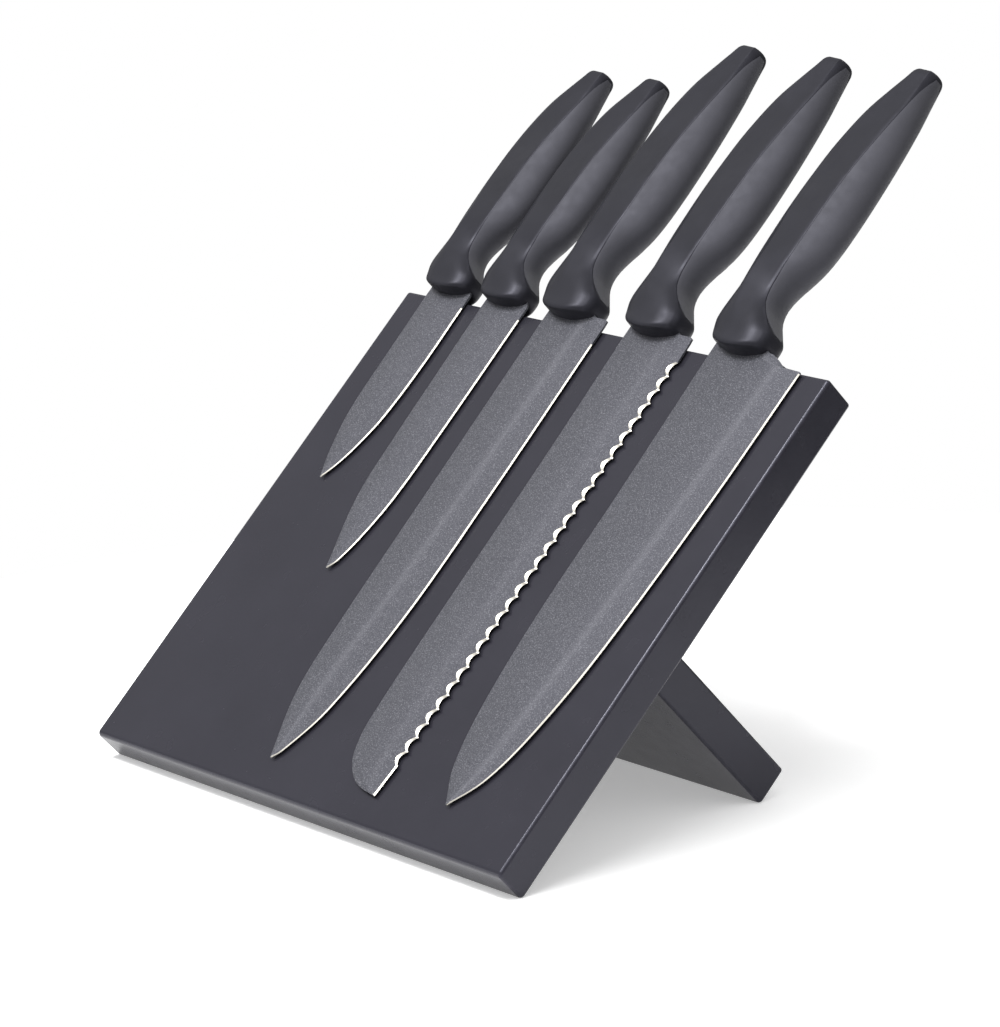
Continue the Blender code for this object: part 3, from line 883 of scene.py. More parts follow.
@dataclass
class Workshop:
    """Puts finished shapes into the frame, dresses them and lets them ride."""

    frame: dict
    lean: float = math.radians(45)
    hinge_axis: Point = (0.0, 96.4, -16.6)
    placing: Matrix = field(init=False)
    coats: dict = field(init=False)
    edge_coat: bpy.types.Material = field(init=False)
    paper: bpy.types.Material = field(init=False)

    def __post_init__(self) -> None:
        """Find the board's place from the hinge's, and mix the finishes."""
        joint = next(each for each in self.frame["joints"] if each["name"] == "leg_fold")
        turn = Matrix.Rotation(self.lean, 4, "X") @ Matrix.Scale(MM, 4)
        origin = Vector(joint["pos_m"]) - turn @ Vector(self.hinge_axis)
        self.placing = Matrix.Translation(origin) @ turn
        effects = Effects()
        self.coats = {surface: finish.make(effects)
                      for surface, finish in FinishRange.by_surface().items()}
        stock = FinishRange()
        self.edge_coat = stock.edge.make(effects)
        self.paper = stock.paper.make(effects)

    def deliver(self, name: str, shape: BMesh, body: str, surface: Surface,
                place: Matrix | None = None, sharp: float | None = 35.0,
                flat_faces: bool = False) -> bpy.types.Object:
        """Make a piece of a shape, in place of the CAD node with its name.

        Args:
            name: the CAD node that it stands for. The piece is called the same, with _look.
            shape: the shape in mm, which is used up.
            body: the body that it rides on.
            surface: its finish.
            place: where the shape lies in board coordinates.
            sharp: angle above which an edge stays sharp, or None to keep the shape's own.
            flat_faces: whether broad faces keep flat normals beside their rounded arrises.

        Returns:
            The piece.
        """
        bmesh.ops.remove_doubles(shape, verts=shape.verts[:], dist=0.0005)
        bmesh.ops.recalc_face_normals(shape, faces=shape.faces)
        bmesh.ops.transform(shape, matrix=self.placing @ (place or Matrix()),
                            verts=shape.verts[:])
        mesh = bpy.data.meshes.new(f"{name}_look")
        for face in shape.faces:
            face.smooth = True
        shape.to_mesh(mesh)
        shape.free()
        if sharp is not None:
            mesh.set_sharp_from_angle(angle=math.radians(sharp))
        mesh.materials.append(self.coats[surface])
        piece = linked(f"{name}_look", mesh)
        if flat_faces:
            weighting = piece.modifiers.new("flat_faces", "WEIGHTED_NORMAL")
            weighting.keep_sharp = True
            weighting.weight = 100
        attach(piece, body)
        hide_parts(name)
        LOG.info("%s: %d faces, rides on %s", piece.name, len(mesh.polygons), body)
        return piece

    def dress_nodes(self, surface: Surface, names: Sequence[str]) -> None:
        """Give a finish to CAD nodes that stay as they are.

        Args:
            surface: the finish.
            names: the nodes.
        """
        for name in names:
            for slot in self.frame["nodes"][name].material_slots:
                slot.link = "OBJECT"
                slot.material = self.coats[surface]
            LOG.info("%s: CAD node with %s", name, surface.value)


# ---------------------------------------------------------------------------- the rack


@dataclass
class Rack:
    """The board with its magnets, and the leg that it leans on."""

    shop: Workshop
    width: float = 233.0
    height: float = 212.0
    thickness: float = 15.0
    arris: float = 1.25
    foot_arris: float = 1.95
    arris_steps: int = 6
    recess_inset: float = 10.0
    recess_depth: float = 3.0
    skin: float = 2.5
    channel_reach: float = 11.0
    channel_length: float = 226.4
    magnet_rows: dict[str, float] = field(default_factory=lambda: {"upper": 165.0,
                                                                    "lower": 60.0})
    leg_width: float = 171.0
    leg_thickness: float = 15.8
    leg_height: float = 98.0
    leg_gap: float = 0.3
    hinge_inset: float = 35.0
    notch: float = 2.8
    notch_reach: float = 20.9

    def build(self) -> None:
        """Build the board and the leg, and dress what lies inside the board."""
        self.build_board()
        self.build_leg()
        self.dress_inside()

    def build_board(self) -> None:
        """The board, with the recess and the magnet channels in its back."""
        half = self.width / 2
        board = round_arrises(boxed((-half, 0, -self.thickness), (half, self.height, 0)),
                              self.arris, self.foot_arris, self.arris_steps)
        floor = self.recess_depth - self.thickness
        inset = self.recess_inset
        tools = [("DIFFERENCE", boxed((inset - half, inset, -self.thickness - 1),
                                      (half - inset, self.height - inset, floor)))]
        reach = self.channel_length / 2
        for row in self.magnet_rows.values():
            tools.append(("DIFFERENCE", boxed((-reach, row - self.channel_reach, floor - 1),
                                              (reach, row + self.channel_reach, -self.skin))))
        self.shop.deliver("board_panel", carve(board, tools), "rack", Surface.PANEL,
                          sharp=50.0, flat_faces=True)

    def build_leg(self) -> None:
        """The leg, with a notch over each hinge's knuckles."""
        half = self.leg_width / 2
        pin = Vector(self.shop.hinge_axis)
        top = self.leg_height
        leg = round_arrises(
            boxed((-half, top, -self.thickness - self.leg_height),
                  (half, top + self.leg_thickness, -self.thickness - self.leg_gap)),
            self.arris, self.foot_arris, self.arris_steps)
        tools = []
        for side in Side:
            centre = side.value * (half - self.hinge_inset)
            tools.append(("DIFFERENCE", boxed(
                (centre - self.notch_reach, pin.y - self.notch, pin.z - self.notch),
                (centre + self.notch_reach, pin.y + self.notch, pin.z + self.notch))))
        self.shop.deliver("leg_panel", carve(leg, tools), "leg", Surface.PANEL,
                          sharp=50.0, flat_faces=True)

    def dress_inside(self) -> None:
        """Finish the magnets, the keepers and the inlaid back panel."""
        for row in self.magnet_rows:
            self.shop.dress_nodes(Surface.MAGNET, [f"{row}_magnet_{i}" for i in range(1, 6)])
            self.shop.dress_nodes(Surface.KEEPER, [f"{row}_keeper"])
        self.shop.dress_nodes(Surface.BACK, ["back_panel"])


@dataclass
class Hinge:
    """A butt hinge in the corner under the leg: two leaves, a pin and four screws."""

    shop: Workshop
    side: Side
    length: float = 40.0
    middle: float = 14.0
    clearance: float = 0.3
    face: float = 1.3
    leaf: float = 1.0
    reach: float = 17.0
    knuckle: float = 2.5
    bore: float = 1.3
    tab_top: float = -1.7
    screw_spacing: float = 24.0
    screw_reach: float = 10.0
    screw_length: float = 10.0
    head: float = 2.4
    head_rim: float = 0.15
    shank: float = 1.1
    thread_depth: float = 0.28
    thread_turns: int = 8
    cross: Point = (1.35, 0.32, 0.55)
    hole_play: float = 0.6
    leaf_corner: float = 2.0
    trim: float = 0.12
    from_middle: float = 50.5

    def build(self) -> None:
        """Build both leaves and their screws, and finish the pin."""
        name = f"{self.side.name.lower()}_hinge"
        axis = Vector(self.shop.hinge_axis) + Vector((self.side.value * self.from_middle, 0, 0))
        on_board = Matrix.Translation(axis)
        onto_leg = Euler((math.radians(90), 0, math.radians(180))).to_matrix().to_4x4()
        for leaf, body, place, is_middle in (("board", "rack", on_board, False),
                                             ("leg", "leg", on_board @ onto_leg, True)):
            piece = self.shop.deliver(f"{name}_{leaf}_leaf", self.leaf_shape(is_middle), body,
                                      Surface.HINGE, place, sharp=30.0)
            trim = piece.modifiers.new("dressed_edges", "BEVEL")
            trim.width = self.trim * MM
            trim.segments = 2
            trim.limit_method = "ANGLE"
            trim.angle_limit = math.radians(40)
            for index, step in enumerate((-1, 1)):
                seat = Vector((step * self.screw_spacing / 2, -self.screw_reach,
                               self.face - self.leaf))
                self.shop.deliver(f"{name}_{leaf}_screw_{index + 1}", self.screw_shape(), body,
                                  Surface.SCREW, place @ Matrix.Translation(seat))
        self.shop.dress_nodes(Surface.SCREW, [f"{name}_pin"])

    def knuckles(self, is_middle: bool) -> list[tuple[float, float]]:
        """Start and end of each knuckle of one leaf, along the pin.

        Args:
            is_middle: whether the leaf has the one knuckle in the middle.

        Returns:
            The stretches.
        """
        half = self.middle / 2
        if is_middle:
            return [(-half, half)]
        inner = half + self.clearance
        return [(-self.length / 2, -inner), (inner, self.length / 2)]

    def leaf_shape(self, is_middle: bool) -> BMesh:
        """A leaf that hangs from the pin along -Y, with countersunk holes.

        Args:
            is_middle: whether the leaf has the one knuckle in the middle.

        Returns:
            The leaf in mm, from the pin's middle.
        """
        half = self.length / 2
        top = -self.knuckle - self.clearance
        plate = boxed((-half, -self.reach, self.face - self.leaf), (half, top, self.face))
        corners = [edge for edge in plate.edges
                   if abs(edge.verts[0].co.z - edge.verts[1].co.z) > 0.5
                   and edge.verts[0].co.y < top - 1]
        rounded(plate, corners, self.leaf_corner, 6)
        tools = []
        for start, end in self.knuckles(is_middle):
            tools.append(("UNION", boxed((start, top - 1, self.face - self.leaf),
                                         (end, self.tab_top, self.face))))
            tools.append(("UNION", rod((start, 0, 0), (end, 0, 0), self.knuckle)))
        tools.append(("DIFFERENCE", rod((-self.length, 0, 0), (self.length, 0, 0), self.bore)))
        for step in (-1, 1):
            x = step * self.screw_spacing / 2
            tools.append(("DIFFERENCE", rod(
                (x, -self.screw_reach, self.face - self.leaf - 0.3),
                (x, -self.screw_reach, self.face + 0.3), self.head + self.hole_play,
                self.shank + self.hole_play)))
        return carve(plate, tools)

    def screw_shape(self) -> BMesh:
        """A countersunk screw along +Z, turned from its profile, with a cross recess.

        Returns:
            The screw in mm, with its head's top at zero.
        """
        neck = self.leaf + self.hole_play
        point = self.screw_length - 2 * self.shank
        profile = [(0.0, 0.0), (self.head - self.head_rim, 0.0), (self.head, self.head_rim),
                   (self.shank, neck)]
        pitch = (point - neck) / self.thread_turns
        for turn in range(self.thread_turns):
            level = neck + turn * pitch
            profile += [(self.shank - self.thread_depth, level + 0.25 * pitch),
                        (self.shank, level + 0.6 * pitch)]
        profile += [(self.shank - 0.3, point), (0.0, self.screw_length)]
        screw = bmesh.new()
        points = [screw.verts.new((radius, 0, height)) for radius, height in profile]
        outline = [screw.edges.new(pair) for pair in zip(points, points[1:])]
        bmesh.ops.spin(screw, geom=points + outline, cent=(0, 0, 0), axis=(0, 0, 1),
                       angle=2 * math.pi, steps=24, use_merge=True)
        bmesh.ops.remove_doubles(screw, verts=screw.verts[:], dist=0.001)
        arm, wide, deep = self.cross
        return carve(screw, [("DIFFERENCE", boxed((-arm, -wide, -1), (arm, wide, deep))),
                             ("DIFFERENCE", boxed((-wide, -arm, -1), (wide, arm, deep)))])


# ---------------------------------------------------------------------------- knives


@dataclass(frozen=True)
class BladeShape:
    """A blade's outline and grind, in mm in its handle's frame."""

    spine: tuple[Point, ...]
    edge: tuple[Point, ...]
    heel: tuple[Point, ...]
    grind: tuple[float, float] = (0.55, 0.5)
    # strength of the painted highlight along the grind line
    belt: float = 0.0
    scallops: int = 0


@dataclass
class Blade:
    """Builds a blade: a flat back, a taper from the grind line, and a ground edge.

    Lengths are in mm. A share is a part of the blade's width, and grind_line and ground_line
    count the points of a row from the spine to those lines.
    """

    shape: BladeShape
    half: float = 0.9
    tip_half: float = 0.45
    edge_half: float = 0.42
    keen: float = 0.03
    corner: float = 0.25
    bevel: float = 0.5
    belt_reach: float = 3.0
    scallop_depth: float = 1.8
    scallop_pitch: float = 6.2
    scallop_grind: tuple[float, float] = (0.75, 3.15)
    scallop_rows: int = 12
    scallop_power: float = 0.85
    rows_to_tip: int = 46
    scalloped_rows_to_tip: int = 16
    tip_step: float = 0.08
    taper_length: float = 45.0
    inside: float = 6.0
    inside_edge: float = 14.0
    heel_edge: float = 17.2
    least_width: float = 0.5
    heel_ground: float = 0.05
    most_ground_share: float = 0.4
    most_corner_share: float = 0.1
    most_grind_share: float = 0.8
    most_belt_share: float = 0.12
    tip_grind_from: float = 0.8
    belt_painted_highlight_fade: float = 4.0
    grind_line: int = 4
    ground_line: int = 6

    def build(self) -> BMesh:
        """Draw the skin through the rows of the blade and mark its ground edge.

        Returns:
            The blade, with its edge's faces on the second material.
        """
        ground_rows = self.edge_rows()
        skin, corners = loft([self.ring(*row) for row in [*ground_rows, *self.heel_rows()]])
        mask = skin.verts.layers.float[ARRIS_MASK]
        last = len(corners[0]) - 1
        # Mask along the grind line for a painted highlight, faded in from the tip.
        for index, row in enumerate(corners):
            for place in (self.grind_line, last - self.grind_line):
                row[place][mask] = self.shape.belt * ease(0, self.belt_painted_highlight_fade, index)
        strip = range(self.ground_line, last - self.ground_line)
        for index, (row, after) in enumerate(zip(corners, corners[1:])):
            for place in (*strip, strip.stop):
                skin.edges.get((row[place], after[place])).smooth = False
            if index < len(ground_rows) - 1:
                for place in strip:
                    face = next(face for face in row[place].link_faces
                                if row[place + 1] in face.verts and after[place] in face.verts)
                    face.material_index = 1
        return skin

    def edge_rows(self) -> list[tuple]:
        """Rows from the tip to the end of the ground edge.

        Returns:
            For each row: the spine's point, the edge's, the ground width and the height.
        """
        spine = smooth_curve(self.shape.spine, 10)[::-1]
        edge = smooth_curve(self.shape.edge, 10)
        tip_y = spine[0].y
        end_y = self.shape.edge[-1][1]
        if self.shape.scallops:
            edge.insert(0, spine[0].copy())
        rows = []
        for y, tooth in self.levels(tip_y, end_y):
            left, right = across(spine, y), across(edge, y)
            narrow, broad = self.scallop_grind
            width = narrow if self.shape.scallops else self.bevel
            if tooth is not None:
                wave = abs(math.sin(math.pi * tooth)) ** self.scallop_power
                hollow = self.scallop_depth * wave
                width = narrow + (broad - narrow) * wave - hollow
                right -= hollow
            right = max(right, left + self.least_width)
            rows.append((Vector((left, y)), Vector((right, y)),
                         min(width, (right - left) * self.most_ground_share), self.keen))
        return rows

    def levels(self, tip_y: float, end_y: float) -> list[tuple[float, float | None]]:
        """Heights of the rows, and the place in a scallop where there are scallops.

        Args:
            tip_y: height of the tip.
            end_y: height where the ground edge ends.

        Returns:
            Each row's height, and how many scallops lie between it and the first one.
        """
        start_y = self.shape.edge[0][1] if self.shape.scallops else end_y
        rows = self.scalloped_rows_to_tip if self.shape.scallops else self.rows_to_tip
        found = []
        for step in range(rows):
            t = step / rows
            way = (1 - math.cos(math.pi * t / 2)) ** 0.9
            y = tip_y + self.tip_step + (start_y - tip_y - self.tip_step) * way
            found.append((y, None))
        if not self.shape.scallops:
            return [*found, (end_y, None)]
        for step in range(self.shape.scallops * self.scallop_rows + 1):
            tooth = step / self.scallop_rows
            found.append((start_y + tooth * self.scallop_pitch, tooth))
        return found

    def heel_rows(self) -> list[tuple]:
        """Rows past the ground edge: the square heel, and the part inside the handle.

        Returns:
            The rows, as edge_rows gives them.
        """
        x, y = self.shape.edge[-1]
        last_x = self.inside_edge * self.shape.heel[-1][0] / self.heel_edge
        line = [Vector((x, y + 0.5)), *(Vector(point) for point in self.shape.heel),
                Vector((last_x, self.inside))]
        rows = []
        left = self.shape.spine[0][0]
        start_y = line[0].y
        for index, right in enumerate(line):
            y = start_y + (self.inside - start_y) * index / (len(line) - 1)
            rows.append((Vector((left, y)), right, self.heel_ground, None))
        return rows

    def ring(self, left: Vector, right: Vector, ground: float,
             keen: float | None) -> list[Vector]:
        """One row's outline, from the spine over the front to the edge and back beneath.

        Args:
            left: the spine's point.
            right: the edge's point.
            ground: width of the ground strip.
            keen: half thickness at the edge, or None where the blade is cut square.

        Returns:
            The row's points.
        """
        width = (right - left).length
        tip_y = self.shape.spine[-1][1]
        far = ease(0, self.taper_length, left.y - tip_y)
        half = self.tip_half + (self.half - self.tip_half) * far
        corner = min(self.corner, width * self.most_corner_share)
        end_share, tip_share = self.shape.grind
        towards_tip = min(1.0, left.y / min(tip_y * self.tip_grind_from, -1.0))
        share = end_share + (tip_share - end_share) * towards_tip
        full = self.full_width(left)
        line = min(full * share, width * self.most_grind_share)
        belt = min(self.belt_reach, width * self.most_belt_share)
        slope = (half - self.edge_half * half / self.half) / max(full - full * share, 0.1)

        def height(x: float) -> float:
            """Half the thickness at a distance from the spine."""
            return half - max(0.0, x - full * share) * slope

        start = width - ground
        profile = [(0.0, half - corner), (corner * 0.3, half - corner * 0.3), (corner, half),
                   (line - belt, height(line - belt)), (line, height(line)),
                   (line + belt, height(line + belt)), (start, height(start)),
                   (width, height(width) if keen is None else keen)]
        way = (right - left).normalized()
        upper = [Vector((*(left + way * x), z)) for x, z in profile]
        return upper + mirrored(upper)

    def full_width(self, left: Vector) -> float:
        """Width from the spine to the edge without scallops, at the height of a spine point.

        Args:
            left: the spine's point.

        Returns:
            The width in mm.
        """
        edge = smooth_curve(self.shape.edge, 4)
        if left.y < edge[0].y:
            tip = Vector(self.shape.spine[-1][:2])
            reach = across([tip, edge[0]], left.y)
        else:
            reach = across(edge, left.y)
        return max(reach - left.x, self.least_width)


@dataclass
class Handle:
    """A handle: a hard core with a soft grip along its belly.

    Each station is its distance from the front end, the spine side, the belly side, half the
    thickness and the seam, in mm for a large handle. The ramps of the facets give an angle in
    degrees over a stretch of that distance.
    """

    scale: tuple[float, float]
    stations: tuple[Point, ...] = (
        (0.0, -9.2, 15.3, 7.75, 16.5),
        (1.2, -10.3, 16.0, 8.15, 17.0),
        (4.0, -11.6, 16.5, 8.2, 17.0),
        (9.0, -13.0, 15.9, 8.6, 15.6),
        (14.0, -13.3, 12.9, 9.0, 10.8),
        (20.0, -13.4, 8.8, 9.2, 6.3),
        (26.0, -13.9, 7.8, 9.3, 4.8),
        (32.0, -14.6, 9.3, 9.5, 5.1),
        (41.0, -15.8, 13.9, 9.5, 5.9),
        (50.0, -16.4, 16.0, 9.5, 6.3),
        (63.0, -16.7, 16.7, 9.5, 6.5),
        (78.0, -16.1, 16.4, 9.3, 6.9),
        (93.0, -14.5, 15.4, 9.0, 8.1),
        (108.0, -11.0, 13.9, 8.4, 9.4),
        (120.0, -5.8, 12.0, 7.2, 10.0),
        (125.0, -3.3, 11.2, 6.6, 10.4),
        (128.4, -1.8, 10.7, 6.2, 10.5),
        (129.6, -1.0, 10.3, 5.7, 10.3),
        (130.2, -0.3, 9.8, 5.1, 9.8),
        (130.5, 0.7, 9.0, 4.5, 9.0),
    )
    least_seam: float = math.radians(4)
    facet_gap: float = math.radians(2.5)
    facet_half: float = math.radians(33)
    facet_least: Ramp = (28, 62, 36, 50)
    facet_meet: Ramp = (30, 96, 114, 144)
    facet_spread: Ramp = (35, 100, 36, 2)
    facet_rise: tuple[float, float] = (7, 32)
    fullness_fade: Ramp = (6, 30, 1, 0)
    groove: float = 0.025
    fullness: float = 3.4
    bow: float = 3.2
    bow_centre: float = 3.0
    bow_half: float = 12.5
    bow_length: float = 14.0
    grip_start: float = 9.6
    grip_end: float = 128.2
    grip_steps: int = 44
    core_sunk: float = 0.003
    grip_sunk: float = 0.004
    # mask on the ridges beside the seam, lightened in the plastic by scuffing and a painted
    # highlight
    ridge_wear_and_painted_highlight: float = 0.8

    def at(self, y: float) -> Point:
        """The station at any distance from the front end.

        Args:
            y: the distance.

        Returns:
            The station, with the other values between those of its neighbours.
        """
        table = self.stations
        index = next((i for i, station in enumerate(table) if station[0] >= y), len(table) - 1)
        index = max(index, 1)
        low, high = table[index - 1], table[index]
        before, after = table[max(index - 2, 0)], table[min(index + 1, len(table) - 1)]
        span = high[0] - low[0]
        t = (y - low[0]) / span
        values = []
        for column in range(1, 5):
            slope_in = (high[column] - before[column]) / max(high[0] - before[0], 1e-6) * span
            slope_out = (after[column] - low[column]) / max(after[0] - low[0], 1e-6) * span
            values.append(hermite(t, low[column], slope_in, high[column], slope_out))
        return (y, *values)

    def seam(self, station: Point) -> float:
        """Angle at which a section meets the seam.

        Args:
            station: the section's station.

        Returns:
            The angle from the belly.
        """
        _, spine, belly, _, seam = station
        cosine = (seam - (spine + belly) / 2) / ((belly - spine) / 2)
        return max(math.acos(min(cosine, 1.0)), self.least_seam)

    def facets(self, station: Point) -> tuple[float, float, float]:
        """Where the front facet starts, where it meets the spine facet, and where that ends.

        Args:
            station: the section's station.

        Returns:
            The three angles.
        """
        y = station[0]
        least = math.radians(ramp(y, self.facet_least))
        start = max(self.seam(station) + self.facet_gap, least)
        meet = math.radians(ramp(y, self.facet_meet))
        return start, meet, meet + math.radians(ramp(y, self.facet_spread))

    def radius(self, angle: float, station: Point) -> float:
        """The section's radius in an angle, where 1 is the full ellipse.

        Args:
            angle: the angle from the belly, over the front.
            station: the section's station.

        Returns:
            The radius.
        """
        start, meet, end = self.facets(station)
        y, n = station[0], self.fullness
        full = (abs(math.cos(angle)) ** n + abs(math.sin(angle)) ** n) ** (-1 / n)
        result = 1 + (full - 1) * ramp(y, self.fullness_fade)
        half = min((meet - start) / 2, self.facet_half)
        for middle, reach in ((start + half, half), ((meet + end) / 2, (end - meet) / 2)):
            if abs(angle - middle) < reach:
                chord = math.cos(reach) / math.cos(angle - middle)
                result -= (1 - chord) * ease(*self.facet_rise, y)
        return result

    def point(self, angle: float, radius: float, station: Point, shrink: float = 1.0) -> Vector:
        """A point of a section.

        Args:
            angle: the angle from the belly, over the front.
            radius: the radius, where 1 is the full ellipse.
            station: the section's station.
            shrink: how much smaller the section is, about its centre.

        Returns:
            The point, in mm in the handle's frame.
        """
        y, spine, belly, half, _ = station
        wide, long = self.scale
        centre, reach = (spine + belly) / 2, (belly - spine) / 2
        x = (centre + reach * radius * shrink * math.cos(angle)) * wide
        fade = max(0.0, 1 - y / self.bow_length)
        bow = self.bow * long * ((x / wide - self.bow_centre) / self.bow_half) ** 2
        z = half * wide * radius * shrink * math.sin(angle)
        return Vector((x, y * long + bow * fade, z))

    def core_angles(self, station: Point) -> list[float]:
        """Angles of the core's points over the front, from the seam to the spine.

        Args:
            station: the section's station.

        Returns:
            The same number of angles for every section.
        """
        seam = self.seam(station) + self.groove / max(station[3], 1)
        start, meet, end = self.facets(station)
        flat = min(start + 2 * self.facet_half, meet)
        stops = [seam + (start - seam) * part for part in (0, 0.3, 0.65)]
        stops += [start + (flat - start) * part for part in (0, 0.1, 0.3, 0.5, 0.7, 0.9, 0.98)]
        stops += [flat + (meet - flat) * part for part in (0.2, 0.6)]
        stops += [meet + (end - meet) * part for part in (0, 0.1, 0.5, 0.9, 1)]
        stops += [end + (math.pi - end) * part for part in (0.12, 0.3, 0.5, 0.75)]
        for index in range(1, len(stops)):
            stops[index] = max(stops[index], stops[index - 1] + 0.004)
        return stops

    def core_ring(self, y: float, shrink: float = 1.0) -> list[Vector]:
        """One section of the core.

        Args:
            y: its distance from the front end.
            shrink: how much smaller it is, about its centre.

        Returns:
            Its points.
        """
        station = self.at(y)
        upper = []
        for index, angle in enumerate(self.core_angles(station)):
            on_grip = index == 0 and self.grip_start < y < self.grip_end
            sunk = self.core_sunk if on_grip else 0.0
            upper.append(self.point(angle, self.radius(angle, station) - sunk, station, shrink))
        return [*upper, self.point(math.pi, 1.0, station, shrink), *mirrored(upper)]

    def grip_ring(self, y: float) -> list[Vector]:
        """One section of the grip, which bulges from the seam on one side to the other.

        Args:
            y: its distance from the front end.

        Returns:
            Its points.
        """
        station = self.at(y)
        seam = self.seam(station) - self.groove / max(station[3], 1)
        upper = []
        for part in (0, 0.02, 0.06, 0.2, 0.4, 0.6, 0.8, 0.92, 1):
            angle = seam * (1 - part)
            sunk = self.grip_sunk * max(0.0, 1 - part / 0.05)
            upper.append(self.point(angle, self.radius(angle, station) - sunk, station))
        return upper + mirrored(upper[:-1])

    def build_core(self) -> BMesh:
        """Draw the core from its front end to its butt.

        Returns:
            The core in mm, with its ridges marked for scuffing and a painted highlight.
        """
        rings = [self.core_ring(0.0, 0.35), self.core_ring(0.0, 0.75), self.core_ring(0.0, 0.93),
                 self.core_ring(0.2, 0.985)]
        levels = [0.6, 1.2, 2, 3, 4, 5.5, 7, 8.5, 10, 11.5, 13, 14.5, 16, 18, 20, 22, 24]
        levels += [26 + 3 * step for step in range(33)]
        levels += [124.5, 126, 127.3, 128.5, 129.3, 130, 130.3, 130.5]
        rings += [self.core_ring(y) for y in levels]
        rings += [self.core_ring(130.5, 0.55)]
        core, corners = loft(rings)
        mask = core.verts.layers.float[ARRIS_MASK]
        # The ridges where the front facet starts carry the mask that lightens them: scuffing and a
        # painted highlight.
        for row in corners[3:]:
            for place in (3, len(row) - 4):
                row[place][mask] = self.ridge_wear_and_painted_highlight
        return core

    def build_grip(self) -> BMesh:
        """Draw the grip along the belly.

        Returns:
            The grip in mm.
        """
        span, steps = self.grip_end - self.grip_start, self.grip_steps
        return loft([self.grip_ring(self.grip_start + span * step / steps)
                     for step in range(steps + 1)])[0]


@dataclass
class Knife:
    """One knife: a blade, a core and a grip, all on the knife's own body."""

    shop: Workshop
    name: str
    x: float
    scale: tuple[float, float]
    shape: BladeShape
    rest_y: float = 212.6
    rest_z: float = 1.2
    board_middle: float = 116.5

    def build(self) -> None:
        """Build the three pieces at the knife's place on the board."""
        body = f"{self.name}_knife"
        place = Matrix.Translation((self.x - self.board_middle, self.rest_y, self.rest_z))
        deliver, handle = self.shop.deliver, Handle(self.scale)
        blade = deliver(f"{body}_blade", Blade(self.shape).build(), body, Surface.BLADE, place,
                        sharp=None)
        blade.data.materials.append(self.shop.edge_coat)
        deliver(f"{body}_core", handle.build_core(), body, Surface.CORE, place, sharp=28.0)
        deliver(f"{body}_grip", handle.build_grip(), body, Surface.GRIP, place, sharp=40.0)


@dataclass
class KnifeSet:
    """The five knives, from left to right along the board."""

    shop: Workshop

    def build(self) -> None:
        """Build every knife."""
        small, large = (0.9, 0.84), (1.0, 1.0)
        chin = ((23.9, 1.0), (23.6, 3.2), (22.8, 3.6), (17.2, 3.6))
        knives = [
            Knife(self.shop, "paring", 21.3, small, BladeShape(
                ((-7.4, 0), (-6.6, -25), (-5.2, -58), (-1.3, -76), (3.1, -87.8)),
                ((3.1, -87.8), (7.3, -80.6), (10.8, -71.6), (14.3, -57), (15.8, -33),
                 (15.4, -4)),
                ((15.3, -1), (15.2, 1.9)))),
            Knife(self.shop, "utility", 53.9, small, BladeShape(
                ((-7.1, 0), (-6, -33), (-5, -63), (-2.9, -92), (5.8, -122.9)),
                ((5.8, -122.9), (9, -118.6), (12.9, -105.6), (15.7, -87.6), (16.4, -55),
                 (16.1, -4)),
                ((16.1, -1), (16.1, 1.9)))),
            Knife(self.shop, "carving", 90.6, large, BladeShape(
                ((-8.1, 0), (-6.7, -63), (-4.7, -151), (-2.3, -175), (6, -199.8)),
                ((6, -199.8), (9.4, -196), (18, -175.6), (24.1, -133), (24.9, -80),
                 (23.9, -7.6)),
                chin, (0.66, 0.5), 1.0)),
            Knife(self.shop, "bread", 136.8, large, BladeShape(
                ((-9, 0), (-7.2, -60), (-5.3, -174), (-2.2, -188), (3.2, -195), (10, -198.9),
                 (20.2, -200.7)),
                ((21.4, -187.4), (23.2, -150), (24.1, -80), (24.3, -7.6)),
                chin, (0.66, 0.65), 0.4, 29)),
            Knife(self.shop, "chefs", 183.5, large, BladeShape(
                ((-10.1, 0), (-8.4, -65), (-7.8, -118), (-4.9, -156), (0.1, -181),
                 (8.1, -195.4)),
                ((8.1, -195.4), (17.9, -182.6), (24.8, -162.6), (30.7, -127.6), (35, -60),
                 (36.2, -4.6), (36.3, -1.9)),
                ((35.9, -1.1), (33.0, -1.1), (29.5, -1), (26, 0.1), (22.5, 2.1), (19.5, 3.3),
                 (17.2, 3.6)),
                (0.745, 0.68), 1.0)),
        ]
        for knife in knives:
            knife.build()


# ---------------------------------------------------------------------------- studio


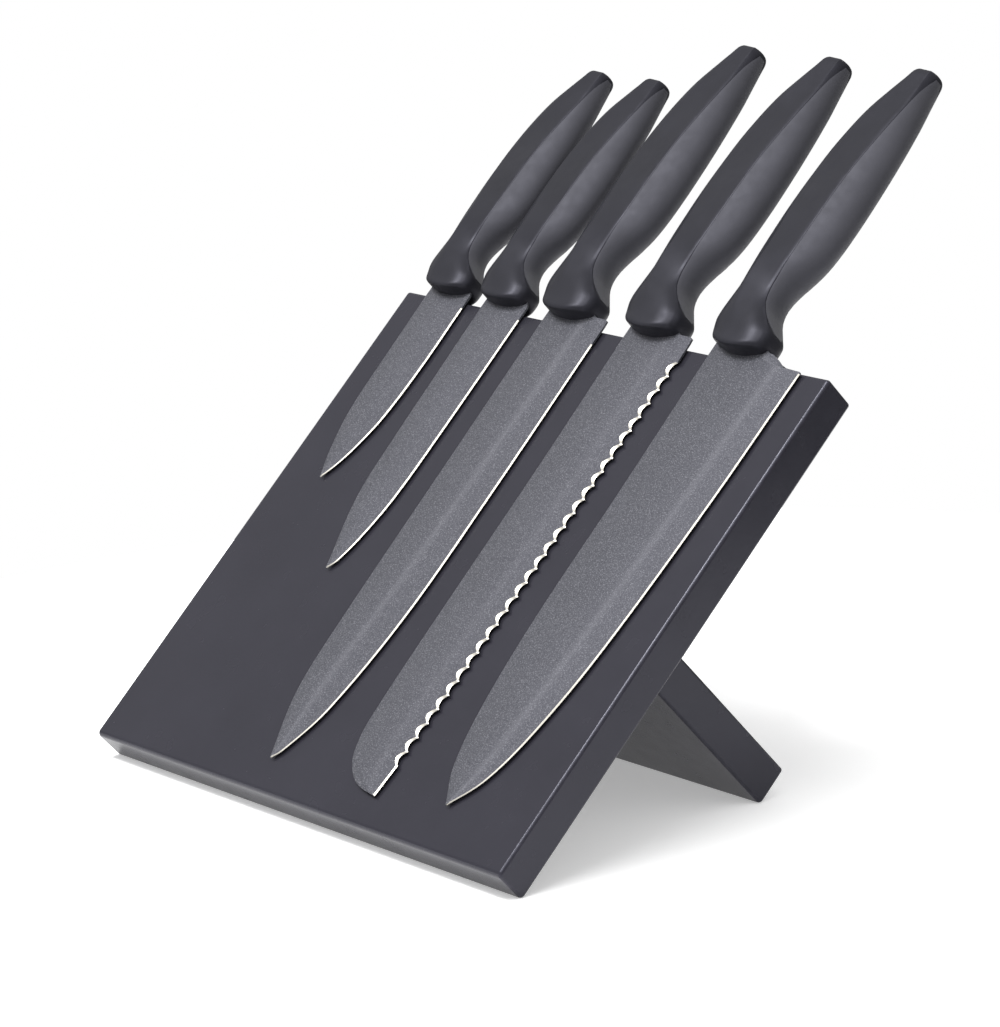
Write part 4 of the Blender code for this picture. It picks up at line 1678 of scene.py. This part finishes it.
@dataclass
class Studio:
    """Pale paper, soft light and the camera.

    Each light has a name, a place, a point that it faces, a width and a power.
    """

    shop: Workshop
    camera_place: Point = (1.21482, -1.04365, 0.45714)
    camera_way: Point = (-0.74731, 0.62696, -0.22009)
    lens: float = 157.5
    floor_radius: float = 0.46
    floor_middle: Point = (0.08, 0.06, 0.0)
    bright_way: Point = (0.0, -0.45, 0.89)
    dark_from: float = -0.35
    bright_from: float = 0.9
    dark_light: float = 0.26
    bright_light: float = 0.96
    lights: tuple[tuple, ...] = (
        ("key_light", (-0.36, -0.8, 1.6), (0, 0, 0.1), 0.5, 27.0),
        ("fill_light", (0.4, -0.72, 1.5), (0, 0, 0.15), 0.9, 13.0),
    )

    def build(self) -> None:
        """Lay the floor, set the lights and aim the camera."""
        floor = bmesh.new()
        bmesh.ops.create_circle(floor, cap_ends=True, segments=96, radius=self.floor_radius,
                                matrix=Matrix.Translation(self.floor_middle))
        mesh = bpy.data.meshes.new("studio_floor")
        floor.to_mesh(mesh)
        floor.free()
        mesh.materials.append(self.shop.paper)
        linked("studio_floor", mesh)
        self.light_world()
        for light in self.lights:
            self.add_light(*light)
        self.aim_camera()

    def light_world(self) -> None:
        """Soft light that falls off towards one side, in front of a white backdrop."""
        world = bpy.data.worlds.new("studio_world")
        world.use_nodes = True
        sheet = NodeSheet(world.node_tree)
        light = world.node_tree.nodes["Background"]
        way = sheet.add("TexCoord").outputs["Generated"]
        along = sheet.add("VectorMath", {0: way, 1: self.bright_way}, operation="DOT_PRODUCT")
        level = sheet.add("MapRange", {
            "Value": along.outputs["Value"], "From Min": self.dark_from,
            "From Max": self.bright_from, "To Min": self.dark_light,
            "To Max": self.bright_light}, interpolation_type="SMOOTHSTEP")
        sheet.feed(light, "Strength", level.outputs["Result"])
        sheet.feed(light, "Color", WHITE)
        backdrop = sheet.add("Background", {"Color": WHITE, "Strength": 1.0})
        seen = sheet.add("LightPath").outputs["Is Camera Ray"]
        mix = sheet.add("MixShader", {0: seen, 1: light.outputs[0], 2: backdrop.outputs[0]})
        end = world.node_tree.nodes["World Output"]
        sheet.feed(end, "Surface", mix.outputs[0])
        bpy.context.scene.world = world
        bpy.context.scene.view_settings.view_transform = "Standard"

    @staticmethod
    def add_light(name: str, place: Point, aim: Point, size: float,
                  power: float) -> bpy.types.Object:
        """Hang a soft round light.

        Args:
            name: the light's name.
            place: where it hangs, in metres.
            aim: the point that it faces.
            size: its width, in metres.
            power: its power, in watts.

        Returns:
            The light.
        """
        lamp = bpy.data.lights.new(name, "AREA")
        lamp.shape = "DISK"
        lamp.size = size
        lamp.energy = power
        item = linked(name, lamp)
        item.location = place
        item.rotation_euler = (Vector(aim) - Vector(place)).to_track_quat("-Z", "Y").to_euler()
        return item

    def aim_camera(self) -> None:
        """Place the camera and make it the scene's."""
        lens = bpy.data.cameras.new("camera")
        lens.lens = self.lens
        lens.sensor_width = 36.0
        camera = linked("camera", lens)
        camera.location = self.camera_place
        camera.rotation_euler = Vector(self.camera_way).to_track_quat("-Z", "Y").to_euler()
        bpy.context.scene.camera = camera


def main() -> None:
    """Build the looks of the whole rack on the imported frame."""
    logging.basicConfig(level=logging.INFO, format="%(message)s")
    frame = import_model()
    shop = Workshop(frame)
    Rack(shop).build()
    for side in Side:
        Hinge(shop, side).build()
    KnifeSet(shop).build()
    Studio(shop).build()


if __name__ == "__main__":
    main()
